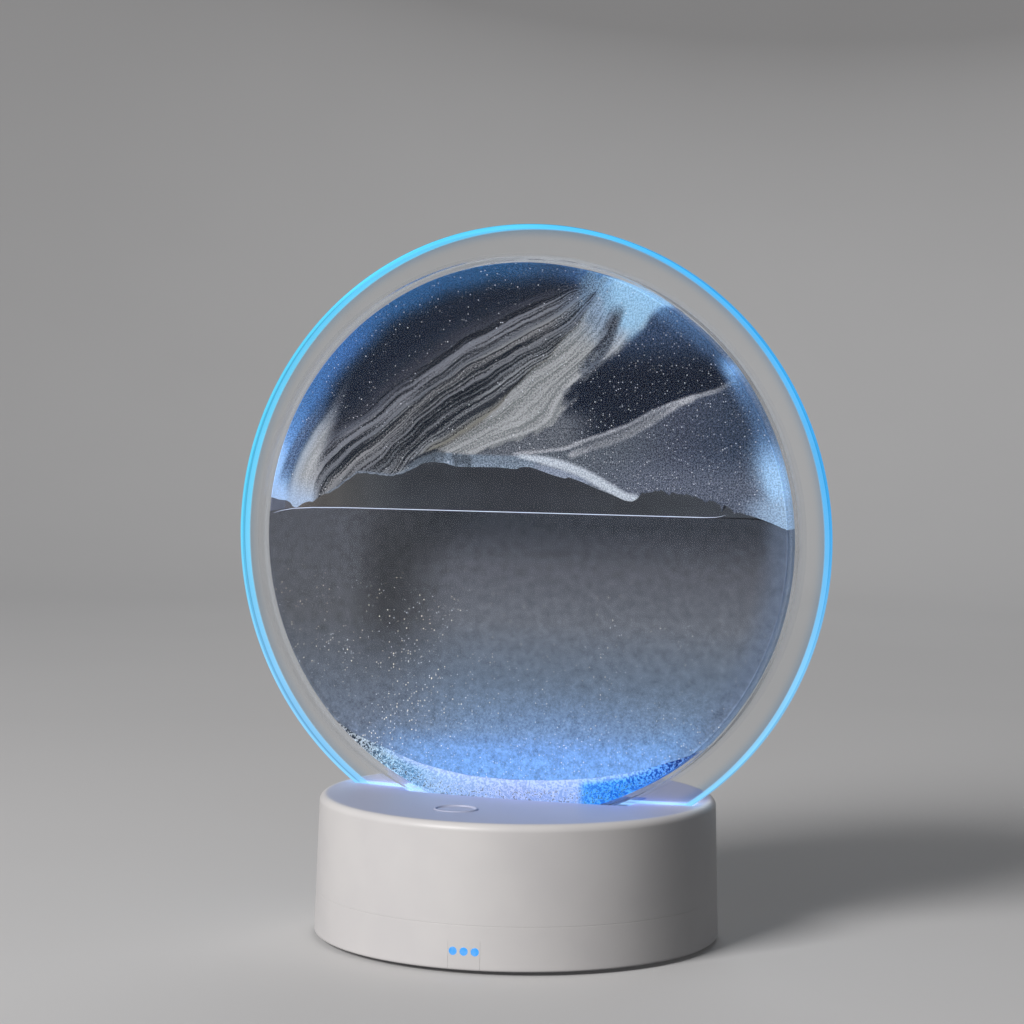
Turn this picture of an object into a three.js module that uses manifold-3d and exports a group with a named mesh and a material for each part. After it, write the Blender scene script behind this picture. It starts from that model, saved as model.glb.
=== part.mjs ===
// Sand art table lamp: a glass sand picture that turns in an edge-lit clear plate on a round lit base.
// Millimetres, +Z up, front towards -Y. The origin is under the middle of the base, on the table.

import * as THREE from 'three';
import { mergeVertices } from 'three/addons/utils/BufferGeometryUtils.js';
import Module from 'manifold-3d';

const wasm = await Module();
wasm.setup();

// Fits and fineness
const fitGap = 0.3;
const sealGap = 0.1;
const overrun = 2;
const roundFacets = 72;
const sealFacets = 40;
const middleFacets = 24;
const smallFacets = 12;
const filletSteps = 4;
const quarterTurn = Math.PI / 2;

// Base shell
const baseRadius = 65;
const sideLean = 1.3;
const shellHeight = 43.9;
const footProud = 1.2;
const rimFillet = 3.3;
const topDish = 1;
const wall = 2.4;
const topWall = 2.4;
const floorWall = 2.4;
const edgeChamfer = 0.5;
const cornerChamfer = 1.2;
const seamAboveEdge = 13.5;
const lapHeight = 3;
const dishSteps = 2;

// Clear plate and its seat in the base
const plateRadius = 100.8;
const plateThickness = 6;
const plateBevel = 1.4;
const plateBand = 10.8;
const plateSetback = 2.5;
const plateWeb = 8.3;
const chordMargin = 3.4;
const slotGap = 0.4;

// Disc that holds the sand
const runningGap = 0.4;
const rimWall = 1;
const rimLip = 1;
const bezelWall = 0.7;
const paneThickness = 2.8;
const paneSink = 0.2;
const sealThickness = 0.5;
const sealLedge = 0.6;
const chamberDepth = 11.6;
const pocketGap = 0.8;

// Sand, fluid and settled bed, as the photograph shows them
const liquidLevel = 8.4;
const sandLowerEdgeShares = [
  [-0.988, 0.121], [-0.915, 0.106], [-0.855, 0.1], [-0.815, 0.108], [-0.766, 0.153],
  [-0.681, 0.2], [-0.596, 0.224], [-0.476, 0.222], [-0.325, 0.277], [-0.195, 0.258],
  [0.053, 0.255], [0.294, 0.199], [0.405, 0.146], [0.467, 0.171], [0.593, 0.181],
  [0.747, 0.15], [0.9, 0.112], [0.991, 0.104],
];
const bedTopEdgeShares = [
  [-0.714, -0.7], [-0.506, -0.793], [-0.361, -0.841], [-0.18, -0.872],
  [0.001, -0.877], [0.2, -0.865], [0.42, -0.828], [0.662, -0.75],
];
const sandArcSteps = 32;
const segmentSteps = 12;
const fluidArcSteps = 16;
const edgeSmoothing = 2;

// Cradle under the slot
const holderWall = 2;
const holderFloor = 2.2;
const lugReach = 4;
const lugRadius = 4.4;
const lugThickness = 3;
const lugDrop = 5.4;
const lugPlaceShare = 0.62;
const smallScrewRadius = 1;
const smallPilotRadius = 1.1;
const smallClearRadius = 1.5;
const smallHeadRadius = 2.2;
const smallHeadHeight = 1.4;
const lugBossRadius = 3.4;
const lugScrewBite = 4;

// Light board
const ledCount = 6;
const ledPitch = 6.6;
const ledLength = 3.5;
const ledWidth = 2.8;
const ledHeight = 1.9;
const windowMargin = 0.7;
const boardThickness = 1.6;
const ledBoardLength = 50;
const ledBoardWidth = 19;
const ledBoardScrewInset = 3.6;
const ledBoardScrewBite = 3.4;

// Housing screws and feet
const housingScrewInset = 13;
const postRadius = 4;
const postTop = 16;
const postHeadSeat = 8;
const screwHeadRadius = 2.6;
const screwHeadHeight = 2.2;
const screwHeadClearRadius = 3.1;
const screwRadius = 1.2;
const screwClearRadius = 1.7;
const pilotRadius = 1.3;
const screwBite = 11;
const pilotSpare = 1.5;
const driveRadius = 1.1;
const driveDepth = 1;
const driveSides = 6;
const driveDepthShare = 0.5;
const headSlopeShare = 0.25;
const footRadius = 6;
const footSink = 1;
const footChamfer = 0.4;
const footInset = 15;

// Ballast, battery and boards
const ballastInset = 11;
const ballastThickness = 3;
const ballastHoleGap = 0.5;
const cellRadius = 9.1;
const cellLength = 65;
const cellShoulder = 0.8;
const cellNubRadius = 2.7;
const cellNubHeight = 1;
const troughGap = 0.4;
const troughWall = 1.6;
const cellSideGap = 1.8;
const mainBoardWidth = 32;
const mainBoardLength = 33.5;
const mainBoardInset = 7.5;
const boardPostRadius = 2.6;
const boardPostInset = 4.2;
const boardScrewBite = 3;
const plugCount = 4;
const chipSize = 7;
const chipHeight = 1.2;
const coilRadius = 3.5;
const coilHeight = 3;
const coilPlaceShare = 0.25;
const plugWidth = 4.6;
const plugDepth = 4;
const plugHeight = 3.4;
const plugPitch = 6.6;

// Charging inlet
const socketWidth = 8.94;
const socketHeight = 3.26;
const socketDepth = 7.4;
const socketSkin = 0.35;
const socketTongueWidth = 6.6;
const socketTongueThickness = 0.7;
const socketTongueReach = 4.4;
const socketHoleGap = 0.35;
const socketInset = 1.2;

// Touch key
const touchX = -7.4;
const touchY = -35.5;
const touchRadius = 6.8;
const touchRecess = 1.2;
const touchSink = 0.25;
const electrodeRadius = 5.5;
const electrodeThickness = 0.8;
const electrodeStemRadius = 1.5;
const electrodeStemHeight = 2;

// Charge window
const indicatorAngle = THREE.MathUtils.degToRad(6.3);
const indicatorWidth = 10;
const indicatorHeight = 8.9;
const indicatorFlangeWidth = 12.8;
const indicatorFlange = 1.2;
const indicatorFlangeRise = 1.8;
const lensCount = 3;
const lensRadius = 1.25;
const lensPitch = 3.4;
const lensRise = 5.7;
const lensGap = 0.1;
const lensTail = 1.4;
const indicatorBoardWidth = 16;
const indicatorBoardHeight = 9;
const indicatorBoardThickness = 1;
const indicatorRibWidth = 3;
const indicatorRibHeight = 3.4;
const indicatorRibThickness = 0.8;

// Wires, with their bends as shares of the base's radius (twice) and the shell's height
const leadRadius = 0.9;
const leadSides = 6;
const leadSteps = 13;
const leadStub = 3.6;
const leadRiseShare = 0.7;
const ledLeadPlaceShare = 0.33;
const batteryLeadShares = [[0.4, 0.11, 0.26]];
const indicatorLeadShares = [
  [-0.53, 0.05, 0.232], [-0.86, -0.3, 0.232], [-0.668, -0.62, 0.232],
  [-0.38, -0.8, 0.232], [-0.12, -0.77, 0.232], [0.069, -0.798, 0.232],
];
const touchLeadShares = [
  [-0.53, 0.12, 0.42], [-0.87, -0.24, 0.52], [-0.672, -0.62, 0.56], [-0.38, -0.76, 0.62],
];

// Heights and radii that follow
const shellBottom = footProud;
const shellTop = shellBottom + shellHeight;
const topCentre = shellTop - topDish;
const ceiling = topCentre - topWall;
const floorTop = shellBottom + floorWall;
const seam = shellBottom + seamAboveEdge;
const baseTopRadius = baseRadius - sideLean;
const flatTopRadius = baseTopRadius - rimFillet;
const chordHalf = flatTopRadius - chordMargin;
const panelRise = Math.sqrt(plateRadius ** 2 - chordHalf ** 2);
const panelCentre = topCentre + panelRise;
const holeRadius = plateRadius - plateBand;
const plateFlat = panelCentre - holeRadius - plateWeb;
const grooveRadius = holeRadius - runningGap;
const chamberRadius = grooveRadius - rimWall;
const rimRadius = holeRadius + rimLip;
const paneRadius = rimRadius - bezelWall - fitGap;
const cellHalf = chamberDepth / 2 + paneThickness + paneSink;
const fillRadius = chamberRadius - fitGap;
const fillHalf = chamberDepth / 2 - fitGap;
const holderTop = ceiling - fitGap;
const holderBottom = plateFlat - fitGap - holderFloor;
const holderHalfWidth = cellHalf + pocketGap + holderWall;
const ledBoardTop = holderBottom - fitGap;
const ballastBottom = floorTop + fitGap;
const ballastTop = ballastBottom + ballastThickness;
const mainBoardBottom = ballastTop + 2 * fitGap;
const mainBoardTop = mainBoardBottom + boardThickness;
const mainBoardBackEdge = baseRadius - mainBoardInset;
const mainBoardFrontEdge = mainBoardBackEdge - mainBoardLength;
const touchTop = dishHeight(Math.hypot(touchX, touchY));
const lugHeight = holderTop - lugDrop;
const troughBottom = ballastTop + fitGap;
const cellAxis = troughBottom + troughWall + troughGap + cellRadius;
const troughLength = cellLength + 2 * (troughGap + troughWall);
const troughHalfWidth = cellRadius + troughGap + troughWall;
const cellOffset = holderHalfWidth - plateSetback + cellSideGap + cellRadius;
const footCircle = baseRadius - footInset;
const ballastRadius = baseRadius - ballastInset;
const screwCircle = baseRadius - housingScrewInset;
const postAcross = cellOffset + troughHalfWidth + ballastHoleGap + postRadius;
const postAlong = Math.sqrt(screwCircle ** 2 - postAcross ** 2);

// The outer side of both shells, which lean in together
function outerAt(height) {
  const rise = (height - shellBottom) / (shellHeight - rimFillet);
  return baseRadius + (baseTopRadius - baseRadius) * rise;
}

function innerAt(height) {
  return outerAt(height) - wall;
}

// The height of the slightly dished top at a distance from the middle
function dishHeight(distance) {
  return topCentre + topDish * (distance / flatTopRadius) ** 2;
}

// Points along an arc, ends included
function arcPoints(x, y, radius, from, to, steps) {
  const points = [];
  for (let step = 0; step <= steps; step += 1) {
    const angle = from + ((to - from) * step) / steps;
    points.push([x + radius * Math.cos(angle), y + radius * Math.sin(angle)]);
  }
  return points;
}

// A closed three.js geometry as a solid that can be cut and joined
function toSolid(geometry) {
  const bare = geometry.clone();
  bare.deleteAttribute('normal');
  bare.deleteAttribute('uv');
  const merged = mergeVertices(bare);
  const corners = merged.index.array;
  const faces = [];
  for (let start = 0; start < corners.length; start += 3) {
    const [a, b, c] = corners.slice(start, start + 3);
    if (a !== b && b !== c && c !== a) faces.push(a, b, c);
  }
  const vertProperties = new Float32Array(merged.attributes.position.array);
  const triVerts = new Uint32Array(faces);
  return new wasm.Manifold(new wasm.Mesh({ numProp: 3, vertProperties, triVerts }));
}

function toGeometry(solid) {
  const mesh = solid.getMesh();
  const geometry = new THREE.BufferGeometry();
  geometry.setAttribute('position', new THREE.BufferAttribute(mesh.vertProperties, mesh.numProp));
  geometry.setIndex(new THREE.BufferAttribute(mesh.triVerts, 1));
  geometry.computeVertexNormals();
  return geometry;
}

// Moves a shape, then turns it about the base's upright axis, and makes it a solid
function moved(geometry, x, y, z, turn = 0) {
  geometry.translate(x, y, z);
  geometry.rotateZ(turn);
  return toSolid(geometry);
}

// A profile of [radius, height] turned about the upright axis
function turned(profile, facets = roundFacets) {
  const points = profile.map(([radius, height]) => new THREE.Vector2(radius, height));
  return new THREE.LatheGeometry(points, facets).rotateX(quarterTurn);
}

// The same profile turned about the disc's axis, which runs front to back
function turnedAcross(profile, facets = roundFacets) {
  const points = profile.map(([radius, depth]) => new THREE.Vector2(radius, depth));
  return new THREE.LatheGeometry(points, facets);
}

function closed(profile) {
  return [...profile, profile[0]];
}

function box(width, depth, height) {
  return new THREE.BoxGeometry(width, depth, height);
}

// An upright round bar from one height to another
function bar(radius, low, high, facets = smallFacets) {
  return turned([[0, low], [radius, low], [radius, high], [0, high]], facets);
}

// An outline in the panel's plane given a depth about that plane
function slab(outline, depth) {
  const shape = new THREE.Shape(outline.map(([x, z]) => new THREE.Vector2(x, z)));
  const geometry = new THREE.ExtrudeGeometry(shape, { depth, bevelEnabled: false });
  return geometry.rotateX(quarterTurn).translate(0, depth / 2, 0);
}

// The part of a panel disc that lies between two depths under its centre
function segmentOutline(radius, low, high) {
  const lowAngle = Math.asin(Math.max(-low / radius, -1));
  const highAngle = Math.asin(-high / radius);
  const right = arcPoints(0, 0, radius, lowAngle, highAngle, segmentSteps);
  const left = right.map(([x, z]) => [-x, z]).reverse();
  return low < radius ? [...right, ...left] : [...right, ...left.slice(0, -1)];
}

// A segment of the panel disc, placed in the base
function panelSegment(radius, lowHeight, highHeight, depth) {
  const outline = segmentOutline(radius, panelCentre - lowHeight, panelCentre - highHeight);
  return moved(slab(outline, depth), 0, plateSetback, panelCentre);
}

// Room for the plate and for the disc that hangs in it
function plateSlot() {
  return panelSegment(plateRadius + slotGap, plateFlat - fitGap, shellTop + overrun,
    plateThickness + 2 * slotGap);
}

function discPocket() {
  const radius = rimRadius + pocketGap;
  return panelSegment(radius, panelCentre - radius, shellTop + overrun, 2 * (cellHalf + pocketGap));
}

function postPlaces() {
  const places = [];
  for (const x of [-postAlong, postAlong]) {
    for (const y of [-postAcross, postAcross]) places.push([x, y]);
  }
  return places;
}

function footPlaces() {
  return [[footCircle, 0], [0, footCircle], [-footCircle, 0], [0, -footCircle]];
}

// Lugs stand on opposite corners of the cradle
function lugPlaces() {
  const reach = holderHalfWidth + lugReach;
  const along = chordHalf * lugPlaceShare;
  return [[-along, plateSetback - reach, 1], [along, plateSetback + reach, -1]];
}

function ledBoardScrewPlaces() {
  const along = ledBoardLength / 2 - ledBoardScrewInset;
  const across = ledBoardWidth / 2 - ledBoardScrewInset;
  return [[-along, plateSetback - across], [along, plateSetback + across]];
}

function boardPostPlaces() {
  const across = mainBoardWidth / 2 - boardPostInset;
  return [
    [-across, mainBoardFrontEdge + 2 * boardPostInset],
    [across, mainBoardBackEdge - boardPostInset],
  ];
}

// White cap: dished top, soft rim, leaning side, lap joint, bosses, slot and touch recess
function makeUpperHousing() {
  const lapTop = seam + lapHeight + fitGap;
  const seamTop = seam + fitGap;
  const fillet = arcPoints(flatTopRadius, shellTop - rimFillet, rimFillet, 0, quarterTurn, filletSteps);
  const dish = [];
  for (let step = dishSteps - 1; step >= 0; step -= 1) {
    const distance = (flatTopRadius * step) / dishSteps;
    dish.push([distance, dishHeight(distance)]);
  }
  const chamferFoot = ceiling - cornerChamfer;
  const profile = [
    [0, ceiling],
    [innerAt(chamferFoot) - cornerChamfer, ceiling],
    [innerAt(chamferFoot), chamferFoot],
    [innerAt(lapTop), lapTop],
    [innerAt(lapTop) + wall / 2, lapTop],
    [innerAt(seamTop) + wall / 2, seamTop],
    [outerAt(seamTop), seamTop],
    ...fillet,
    ...dish,
  ];
  let solid = toSolid(turned(profile));
  const bossBottom = postTop + fitGap;
  for (const [x, y] of postPlaces()) {
    solid = solid.add(moved(bar(postRadius, bossBottom, ceiling + topWall / 2), x, y, 0));
    const pilotTop = bossBottom + screwBite + pilotSpare;
    solid = solid.subtract(moved(bar(pilotRadius, bossBottom - overrun, pilotTop), x, y, 0));
  }
  const lugBossBottom = lugHeight + fitGap;
  for (const [x, y] of lugPlaces()) {
    solid = solid.add(moved(bar(lugBossRadius, lugBossBottom, ceiling + topWall / 2), x, y, 0));
    const pilotTop = lugBossBottom + lugScrewBite + pilotSpare / 2;
    solid = solid.subtract(moved(bar(smallPilotRadius, lugBossBottom - overrun, pilotTop), x, y, 0));
  }
  const recess = bar(touchRadius + fitGap, touchTop - touchRecess, shellTop + overrun, middleFacets);
  solid = solid.subtract(moved(recess, touchX, touchY, 0));
  return solid.subtract(plateSlot()).subtract(discPocket());
}

// A bar with round ends, lying front to back, for the inlet and its hole
function stadium(width, height, depth) {
  const radius = height / 2;
  const reach = width / 2 - radius;
  const outline = [
    ...arcPoints(reach, 0, radius, -quarterTurn, quarterTurn, filletSteps),
    ...arcPoints(-reach, 0, radius, quarterTurn, 3 * quarterTurn, filletSteps),
  ];
  return slab(outline, depth);
}

const socketHeightCentre = mainBoardTop + sealGap + socketHeight / 2;
const socketMouth = outerAt(socketHeightCentre) - socketInset;

// The place of the charge window: a box across the wall, turned to its angle
function windowBlock(width, low, high, near, far) {
  const block = box(width, far - near, high - low);
  return moved(block, 0, -(near + far) / 2, (low + high) / 2, indicatorAngle);
}

function lensBars(radius, near, far) {
  const bars = [];
  for (let index = 0; index < lensCount; index += 1) {
    const offset = (index - (lensCount - 1) / 2) * lensPitch;
    const round = new THREE.CylinderGeometry(radius, radius, far - near, smallFacets);
    bars.push(moved(round, offset, -(near + far) / 2, shellBottom + lensRise, indicatorAngle));
  }
  return bars;
}

// White pan: floor, side up to the seam, tongue, screw and board posts, foot recesses and openings
function makeLowerHousing() {
  const chamferTop = shellBottom + edgeChamfer;
  const tongueTop = seam + lapHeight;
  const tongueSide = wall / 2 - fitGap;
  const profile = [
    [0, shellBottom],
    [outerAt(chamferTop) - edgeChamfer, shellBottom],
    [outerAt(chamferTop), chamferTop],
    [outerAt(seam), seam],
    [innerAt(seam) + tongueSide, seam],
    [innerAt(tongueTop) + tongueSide, tongueTop],
    [innerAt(tongueTop), tongueTop],
    [innerAt(floorTop), floorTop],
    [0, floorTop],
  ];
  let solid = toSolid(turned(profile));
  for (const [x, y] of postPlaces()) {
    solid = solid.add(moved(bar(postRadius, floorTop - floorWall / 2, postTop), x, y, 0));
    solid = solid.subtract(moved(bar(screwClearRadius, 0, postTop + overrun), x, y, 0));
    solid = solid.subtract(moved(bar(screwHeadClearRadius, 0, postHeadSeat), x, y, 0));
  }
  for (const [x, y] of boardPostPlaces()) {
    const post = bar(boardPostRadius, floorTop - floorWall / 2, mainBoardBottom - fitGap);
    solid = solid.add(moved(post, x, y, 0));
    const pilot = bar(smallPilotRadius, floorTop, mainBoardBottom + overrun);
    solid = solid.subtract(moved(pilot, x, y, 0));
  }
  for (const [x, y] of footPlaces()) {
    solid = solid.subtract(moved(bar(footRadius + fitGap, 0, shellBottom + footSink), x, y, 0));
  }
  const holeDepth = wall + 2 * overrun;
  const hole = stadium(socketWidth + 2 * socketHoleGap, socketHeight + 2 * socketHoleGap, holeDepth);
  solid = solid.subtract(moved(hole, 0, innerAt(socketHeightCentre) + wall / 2, socketHeightCentre));
  return addIndicatorRibs(solid.subtract(windowNotch()));
}

// The notch for the charge window goes through the side wall and spares the floor
function windowNotch() {
  const top = shellBottom + indicatorHeight;
  const far = baseRadius + overrun;
  const band = toSolid(turned(closed([
    [innerAt(0) - sealGap, 0],
    [far, 0],
    [far, top],
    [innerAt(top) - sealGap, top],
  ])));
  return band.intersect(windowBlock(indicatorWidth, 0, top, 0, far));
}

const indicatorBoardFace = innerAt(floorTop) - indicatorFlange - fitGap - lensTail - fitGap;
const indicatorBoardBottom = floorTop + fitGap;

// Pairs of ribs that hold the small board upright behind the charge window
function addIndicatorRibs(pan) {
  let solid = pan;
  const rear = indicatorBoardFace - indicatorBoardThickness - fitGap;
  const front = indicatorBoardFace + fitGap;
  const offset = (indicatorBoardWidth - indicatorRibWidth) / 2;
  for (const side of [-offset, offset]) {
    for (const near of [rear - indicatorRibThickness, front]) {
      const rib = box(indicatorRibWidth, indicatorRibThickness, indicatorRibHeight + floorWall / 2);
      const height = floorTop + (indicatorRibHeight - floorWall / 2) / 2;
      rib.translate(side, -(near + indicatorRibThickness / 2), height);
      solid = solid.add(toSolid(rib.rotateZ(indicatorAngle)));
    }
  }
  return solid;
}

// Window piece: flush with the wall outside, with a flange that stops it from inside
function makeIndicatorInsert() {
  const top = shellBottom + indicatorHeight - fitGap;
  const chamferTop = shellBottom + edgeChamfer;
  const skin = toSolid(turned(closed([
    [innerAt(shellBottom) + fitGap, shellBottom],
    [outerAt(chamferTop) - edgeChamfer, shellBottom],
    [outerAt(chamferTop), chamferTop],
    [outerAt(top), top],
    [innerAt(top) + fitGap, top],
  ])));
  const width = indicatorWidth - 2 * fitGap;
  const plug = skin.intersect(windowBlock(width, 0, top, 0, baseRadius + overrun));
  const flangeLow = floorTop + fitGap;
  const flangeTop = top + indicatorFlangeRise;
  const flangeRing = toSolid(turned(closed([
    [innerAt(flangeLow) - fitGap - indicatorFlange, flangeLow],
    [innerAt(flangeLow) - fitGap, flangeLow],
    [innerAt(flangeTop) - fitGap, flangeTop],
    [innerAt(flangeLow) - fitGap - indicatorFlange, flangeTop],
  ])));
  const flangeBlock = windowBlock(indicatorFlangeWidth, 0, flangeTop, 0, baseRadius);
  const flange = flangeRing.intersect(flangeBlock);
  const neckFar = innerAt(flangeLow) + wall / 2;
  const neck = windowBlock(width, flangeLow, top, neckFar - wall, neckFar);
  let solid = plug.add(flange).add(neck);
  for (const hole of lensBars(lensRadius + lensGap, 0, baseRadius + overrun)) {
    solid = solid.subtract(hole);
  }
  return solid;
}

// Light guides, cut flush with the leaning wall
function makeLenses() {
  const side = toSolid(turned([
    [0, 0],
    [outerAt(0), 0],
    [outerAt(seam), seam],
    [0, seam],
  ]));
  const near = innerAt(floorTop) - indicatorFlange - fitGap - lensTail;
  return lensBars(lensRadius, near, baseRadius + overrun).map((lens) => lens.intersect(side));
}

function makeIndicatorBoard() {
  const near = indicatorBoardFace - indicatorBoardThickness;
  const high = indicatorBoardBottom + indicatorBoardHeight;
  return windowBlock(indicatorBoardWidth, indicatorBoardBottom, high, near, indicatorBoardFace);
}

// Cradle: a curved trough that carries the plate on a ledge and lets the light up through a window
function makePlateHolder() {
  const outerRadius = plateRadius + slotGap + holderWall;
  let solid = panelSegment(outerRadius, holderBottom, holderTop, 2 * holderHalfWidth);
  for (const [x, y, side] of lugPlaces()) {
    const low = lugHeight - lugThickness;
    solid = solid.add(moved(bar(lugRadius, low, lugHeight), x, y, 0));
    const arm = box(2 * lugRadius, lugReach + holderWall, lugThickness);
    const armY = y + (side * (lugReach + holderWall)) / 2;
    solid = solid.add(moved(arm, x, armY, (low + lugHeight) / 2));
    solid = solid.subtract(moved(bar(smallClearRadius, low - overrun, lugHeight + overrun), x, y, 0));
  }
  for (const [x, y] of ledBoardScrewPlaces()) {
    const pilotTop = holderBottom + ledBoardScrewBite;
    solid = solid.subtract(moved(bar(smallPilotRadius, holderBottom - overrun, pilotTop), x, y, 0));
  }
  solid = solid.subtract(plateSlot()).subtract(discPocket());
  const windowLength = (ledCount - 1) * ledPitch + ledLength + 2 * windowMargin;
  const light = box(windowLength, ledWidth + 2 * windowMargin, holderFloor + 2 * overrun);
  return solid.subtract(moved(light, 0, plateSetback, holderBottom + holderFloor / 2));
}

function makeLedBoard() {
  const middle = ledBoardTop - boardThickness / 2;
  let solid = moved(box(ledBoardLength, ledBoardWidth, boardThickness), 0, plateSetback, middle);
  for (const [x, y] of ledBoardScrewPlaces()) {
    const hole = bar(smallClearRadius, middle - boardThickness, middle + boardThickness);
    solid = solid.subtract(moved(hole, x, y, 0));
  }
  return solid;
}

// A round-headed screw that points up, with its head's top at height zero and a hexagon drive
function makeScrew(radius, length, headRadius, headHeight) {
  const profile = [
    [0, 0],
    [headRadius - headHeight * headSlopeShare, 0],
    [headRadius, headHeight],
    [radius, headHeight],
    [radius, headHeight + length - radius],
    [0, headHeight + length],
  ];
  const depth = Math.min(driveDepth, headHeight * driveDepthShare);
  const drive = bar(driveRadius, -overrun, depth, driveSides);
  return toSolid(turned(profile, smallFacets)).subtract(toSolid(drive));
}

function makeFoot() {
  const top = shellBottom + footSink - fitGap;
  return toSolid(turned([
    [0, 0],
    [footRadius - footChamfer, 0],
    [footRadius, footChamfer],
    [footRadius, top],
    [0, top],
  ], middleFacets));
}

// Steel weight on the floor of the pan, with holes where the posts pass
function makeBallast() {
  let solid = toSolid(bar(ballastRadius, ballastBottom, ballastTop, sealFacets));
  for (const [x, y] of postPlaces()) {
    const hole = bar(postRadius + ballastHoleGap, ballastBottom - overrun, ballastTop + overrun);
    solid = solid.subtract(moved(hole, x, y, 0));
  }
  for (const [x, y] of boardPostPlaces()) {
    const hole = bar(boardPostRadius + ballastHoleGap, ballastBottom - overrun, ballastTop + overrun);
    solid = solid.subtract(moved(hole, x, y, 0));
  }
  return solid;
}

// Round cell, modelled upright and laid down by its mesh
function makeBatteryCell() {
  const can = cellLength - cellNubHeight;
  return toSolid(turned([
    [0, 0],
    [cellRadius - cellShoulder, 0],
    [cellRadius, cellShoulder],
    [cellRadius, can - cellShoulder],
    [cellRadius - cellShoulder, can],
    [cellNubRadius, can],
    [cellNubRadius, cellLength],
    [0, cellLength],
  ], middleFacets));
}

// Trough that holds the lower half of the cell
function makeBatteryHolder() {
  const height = cellAxis - troughBottom;
  const block = box(troughLength, 2 * troughHalfWidth, height);
  const body = moved(block, 0, 0, troughBottom + height / 2);
  const length = cellLength + 2 * troughGap;
  const roomRadius = cellRadius + troughGap;
  const room = new THREE.CylinderGeometry(roomRadius, roomRadius, length, middleFacets);
  return body.subtract(moved(room.rotateZ(quarterTurn), 0, 0, cellAxis));
}

function plugPlace(index) {
  return (index - (plugCount - 1) / 2) * plugPitch;
}

// Control board with its chip, coil and four wire sockets
function makeMainBoard() {
  const middleY = (mainBoardFrontEdge + mainBoardBackEdge) / 2;
  const board = box(mainBoardWidth, mainBoardLength, boardThickness);
  let solid = moved(board, 0, middleY, mainBoardBottom + boardThickness / 2);
  const rise = boardThickness / 2;
  const chip = box(chipSize, chipSize, chipHeight + rise);
  solid = solid.add(moved(chip, 0, middleY, mainBoardTop + (chipHeight - rise) / 2));
  const coil = bar(coilRadius, mainBoardTop - rise, mainBoardTop + coilHeight);
  solid = solid.add(moved(coil, -mainBoardWidth * coilPlaceShare, middleY + chipSize, 0));
  for (let index = 0; index < plugCount; index += 1) {
    const plug = box(plugWidth, plugDepth, plugHeight + rise);
    const y = mainBoardFrontEdge + plugDepth / 2;
    solid = solid.add(moved(plug, plugPlace(index), y, mainBoardTop + (plugHeight - rise) / 2));
  }
  for (const [x, y] of boardPostPlaces()) {
    const hole = bar(smallClearRadius, mainBoardBottom - overrun, mainBoardTop + overrun);
    solid = solid.subtract(moved(hole, x, y, 0));
  }
  return solid;
}

// Reversible charging socket: thin shell, closed back and a tongue inside
function makeChargeSocket() {
  const middle = socketMouth - socketDepth / 2;
  const shell = moved(stadium(socketWidth, socketHeight, socketDepth), 0, middle, socketHeightCentre);
  const inside = stadium(socketWidth - 2 * socketSkin, socketHeight - 2 * socketSkin, socketDepth);
  const shift = 2 * socketSkin;
  const hollow = moved(inside, 0, middle + shift, socketHeightCentre);
  const tongue = box(socketTongueWidth, socketTongueReach, socketTongueThickness);
  const tongueY = socketMouth - socketDepth + socketTongueReach / 2 + socketSkin;
  return shell.subtract(hollow).add(moved(tongue, 0, tongueY, socketHeightCentre));
}

function makeTouchKey() {
  const low = touchTop - touchRecess + fitGap;
  const high = touchTop - touchSink;
  return toSolid(bar(touchRadius, low, high, middleFacets));
}

function makeTouchElectrode() {
  const high = ceiling - fitGap;
  const low = high - electrodeThickness;
  return toSolid(turned([
    [0, low - electrodeStemHeight],
    [electrodeStemRadius, low - electrodeStemHeight],
    [electrodeStemRadius, low],
    [electrodeRadius, low],
    [electrodeRadius, high],
    [0, high],
  ], middleFacets));
}

// Clear plate: a ring with polished bevels, cut flat where it sits over the lights
function makeLightPlate() {
  const half = plateThickness / 2;
  const ring = toSolid(turnedAcross(closed([
    [holeRadius, -half],
    [plateRadius - plateBevel, -half],
    [plateRadius, plateBevel - half],
    [plateRadius, half - plateBevel],
    [plateRadius - plateBevel, half],
    [holeRadius, half],
  ])));
  const flat = plateFlat - panelCentre;
  const cutHeight = plateRadius + flat + overrun;
  const cut = box(2 * plateRadius, plateThickness + overrun, cutHeight);
  return ring.subtract(moved(cut, 0, 0, flat - cutHeight / 2));
}

// Rear half of the cell's wall: sleeve, groove for the plate, ledge for the seal and lip round the pane
function makeRim() {
  const grooveHalf = plateThickness / 2 + runningGap;
  const ledge = chamberDepth / 2 - sealThickness - 2 * sealGap;
  return toSolid(turnedAcross(closed([
    [chamberRadius, fitGap / 2],
    [grooveRadius, fitGap / 2],
    [grooveRadius, grooveHalf],
    [rimRadius, grooveHalf],
    [rimRadius, cellHalf],
    [rimRadius - bezelWall, cellHalf],
    [rimRadius - bezelWall, ledge],
    [chamberRadius, ledge],
  ])));
}

function makePane() {
  const inner = chamberDepth / 2;
  const outer = inner + paneThickness;
  return toSolid(turnedAcross([
    [0, inner],
    [paneRadius, inner],
    [paneRadius, outer],
    [0, outer],
  ]));
}

function makeSeal() {
  const outer = chamberDepth / 2 - sealGap;
  const inner = outer - sealThickness;
  const inside = chamberRadius + sealLedge;
  return toSolid(turnedAcross(closed([
    [inside, inner],
    [paneRadius, inner],
    [paneRadius, outer],
    [inside, outer],
  ]), sealFacets));
}

// A smooth edge through hand-chosen shares of the fill's radius
function smoothEdge(shares) {
  const points = shares.map(([x, z]) => new THREE.Vector2(x * fillRadius, z * fillRadius));
  const steps = edgeSmoothing * (points.length - 1);
  return new THREE.SplineCurve(points).getPoints(steps).map((point) => [point.x, point.y]);
}

function angleOf([x, z]) {
  return Math.atan2(z, x);
}

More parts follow.
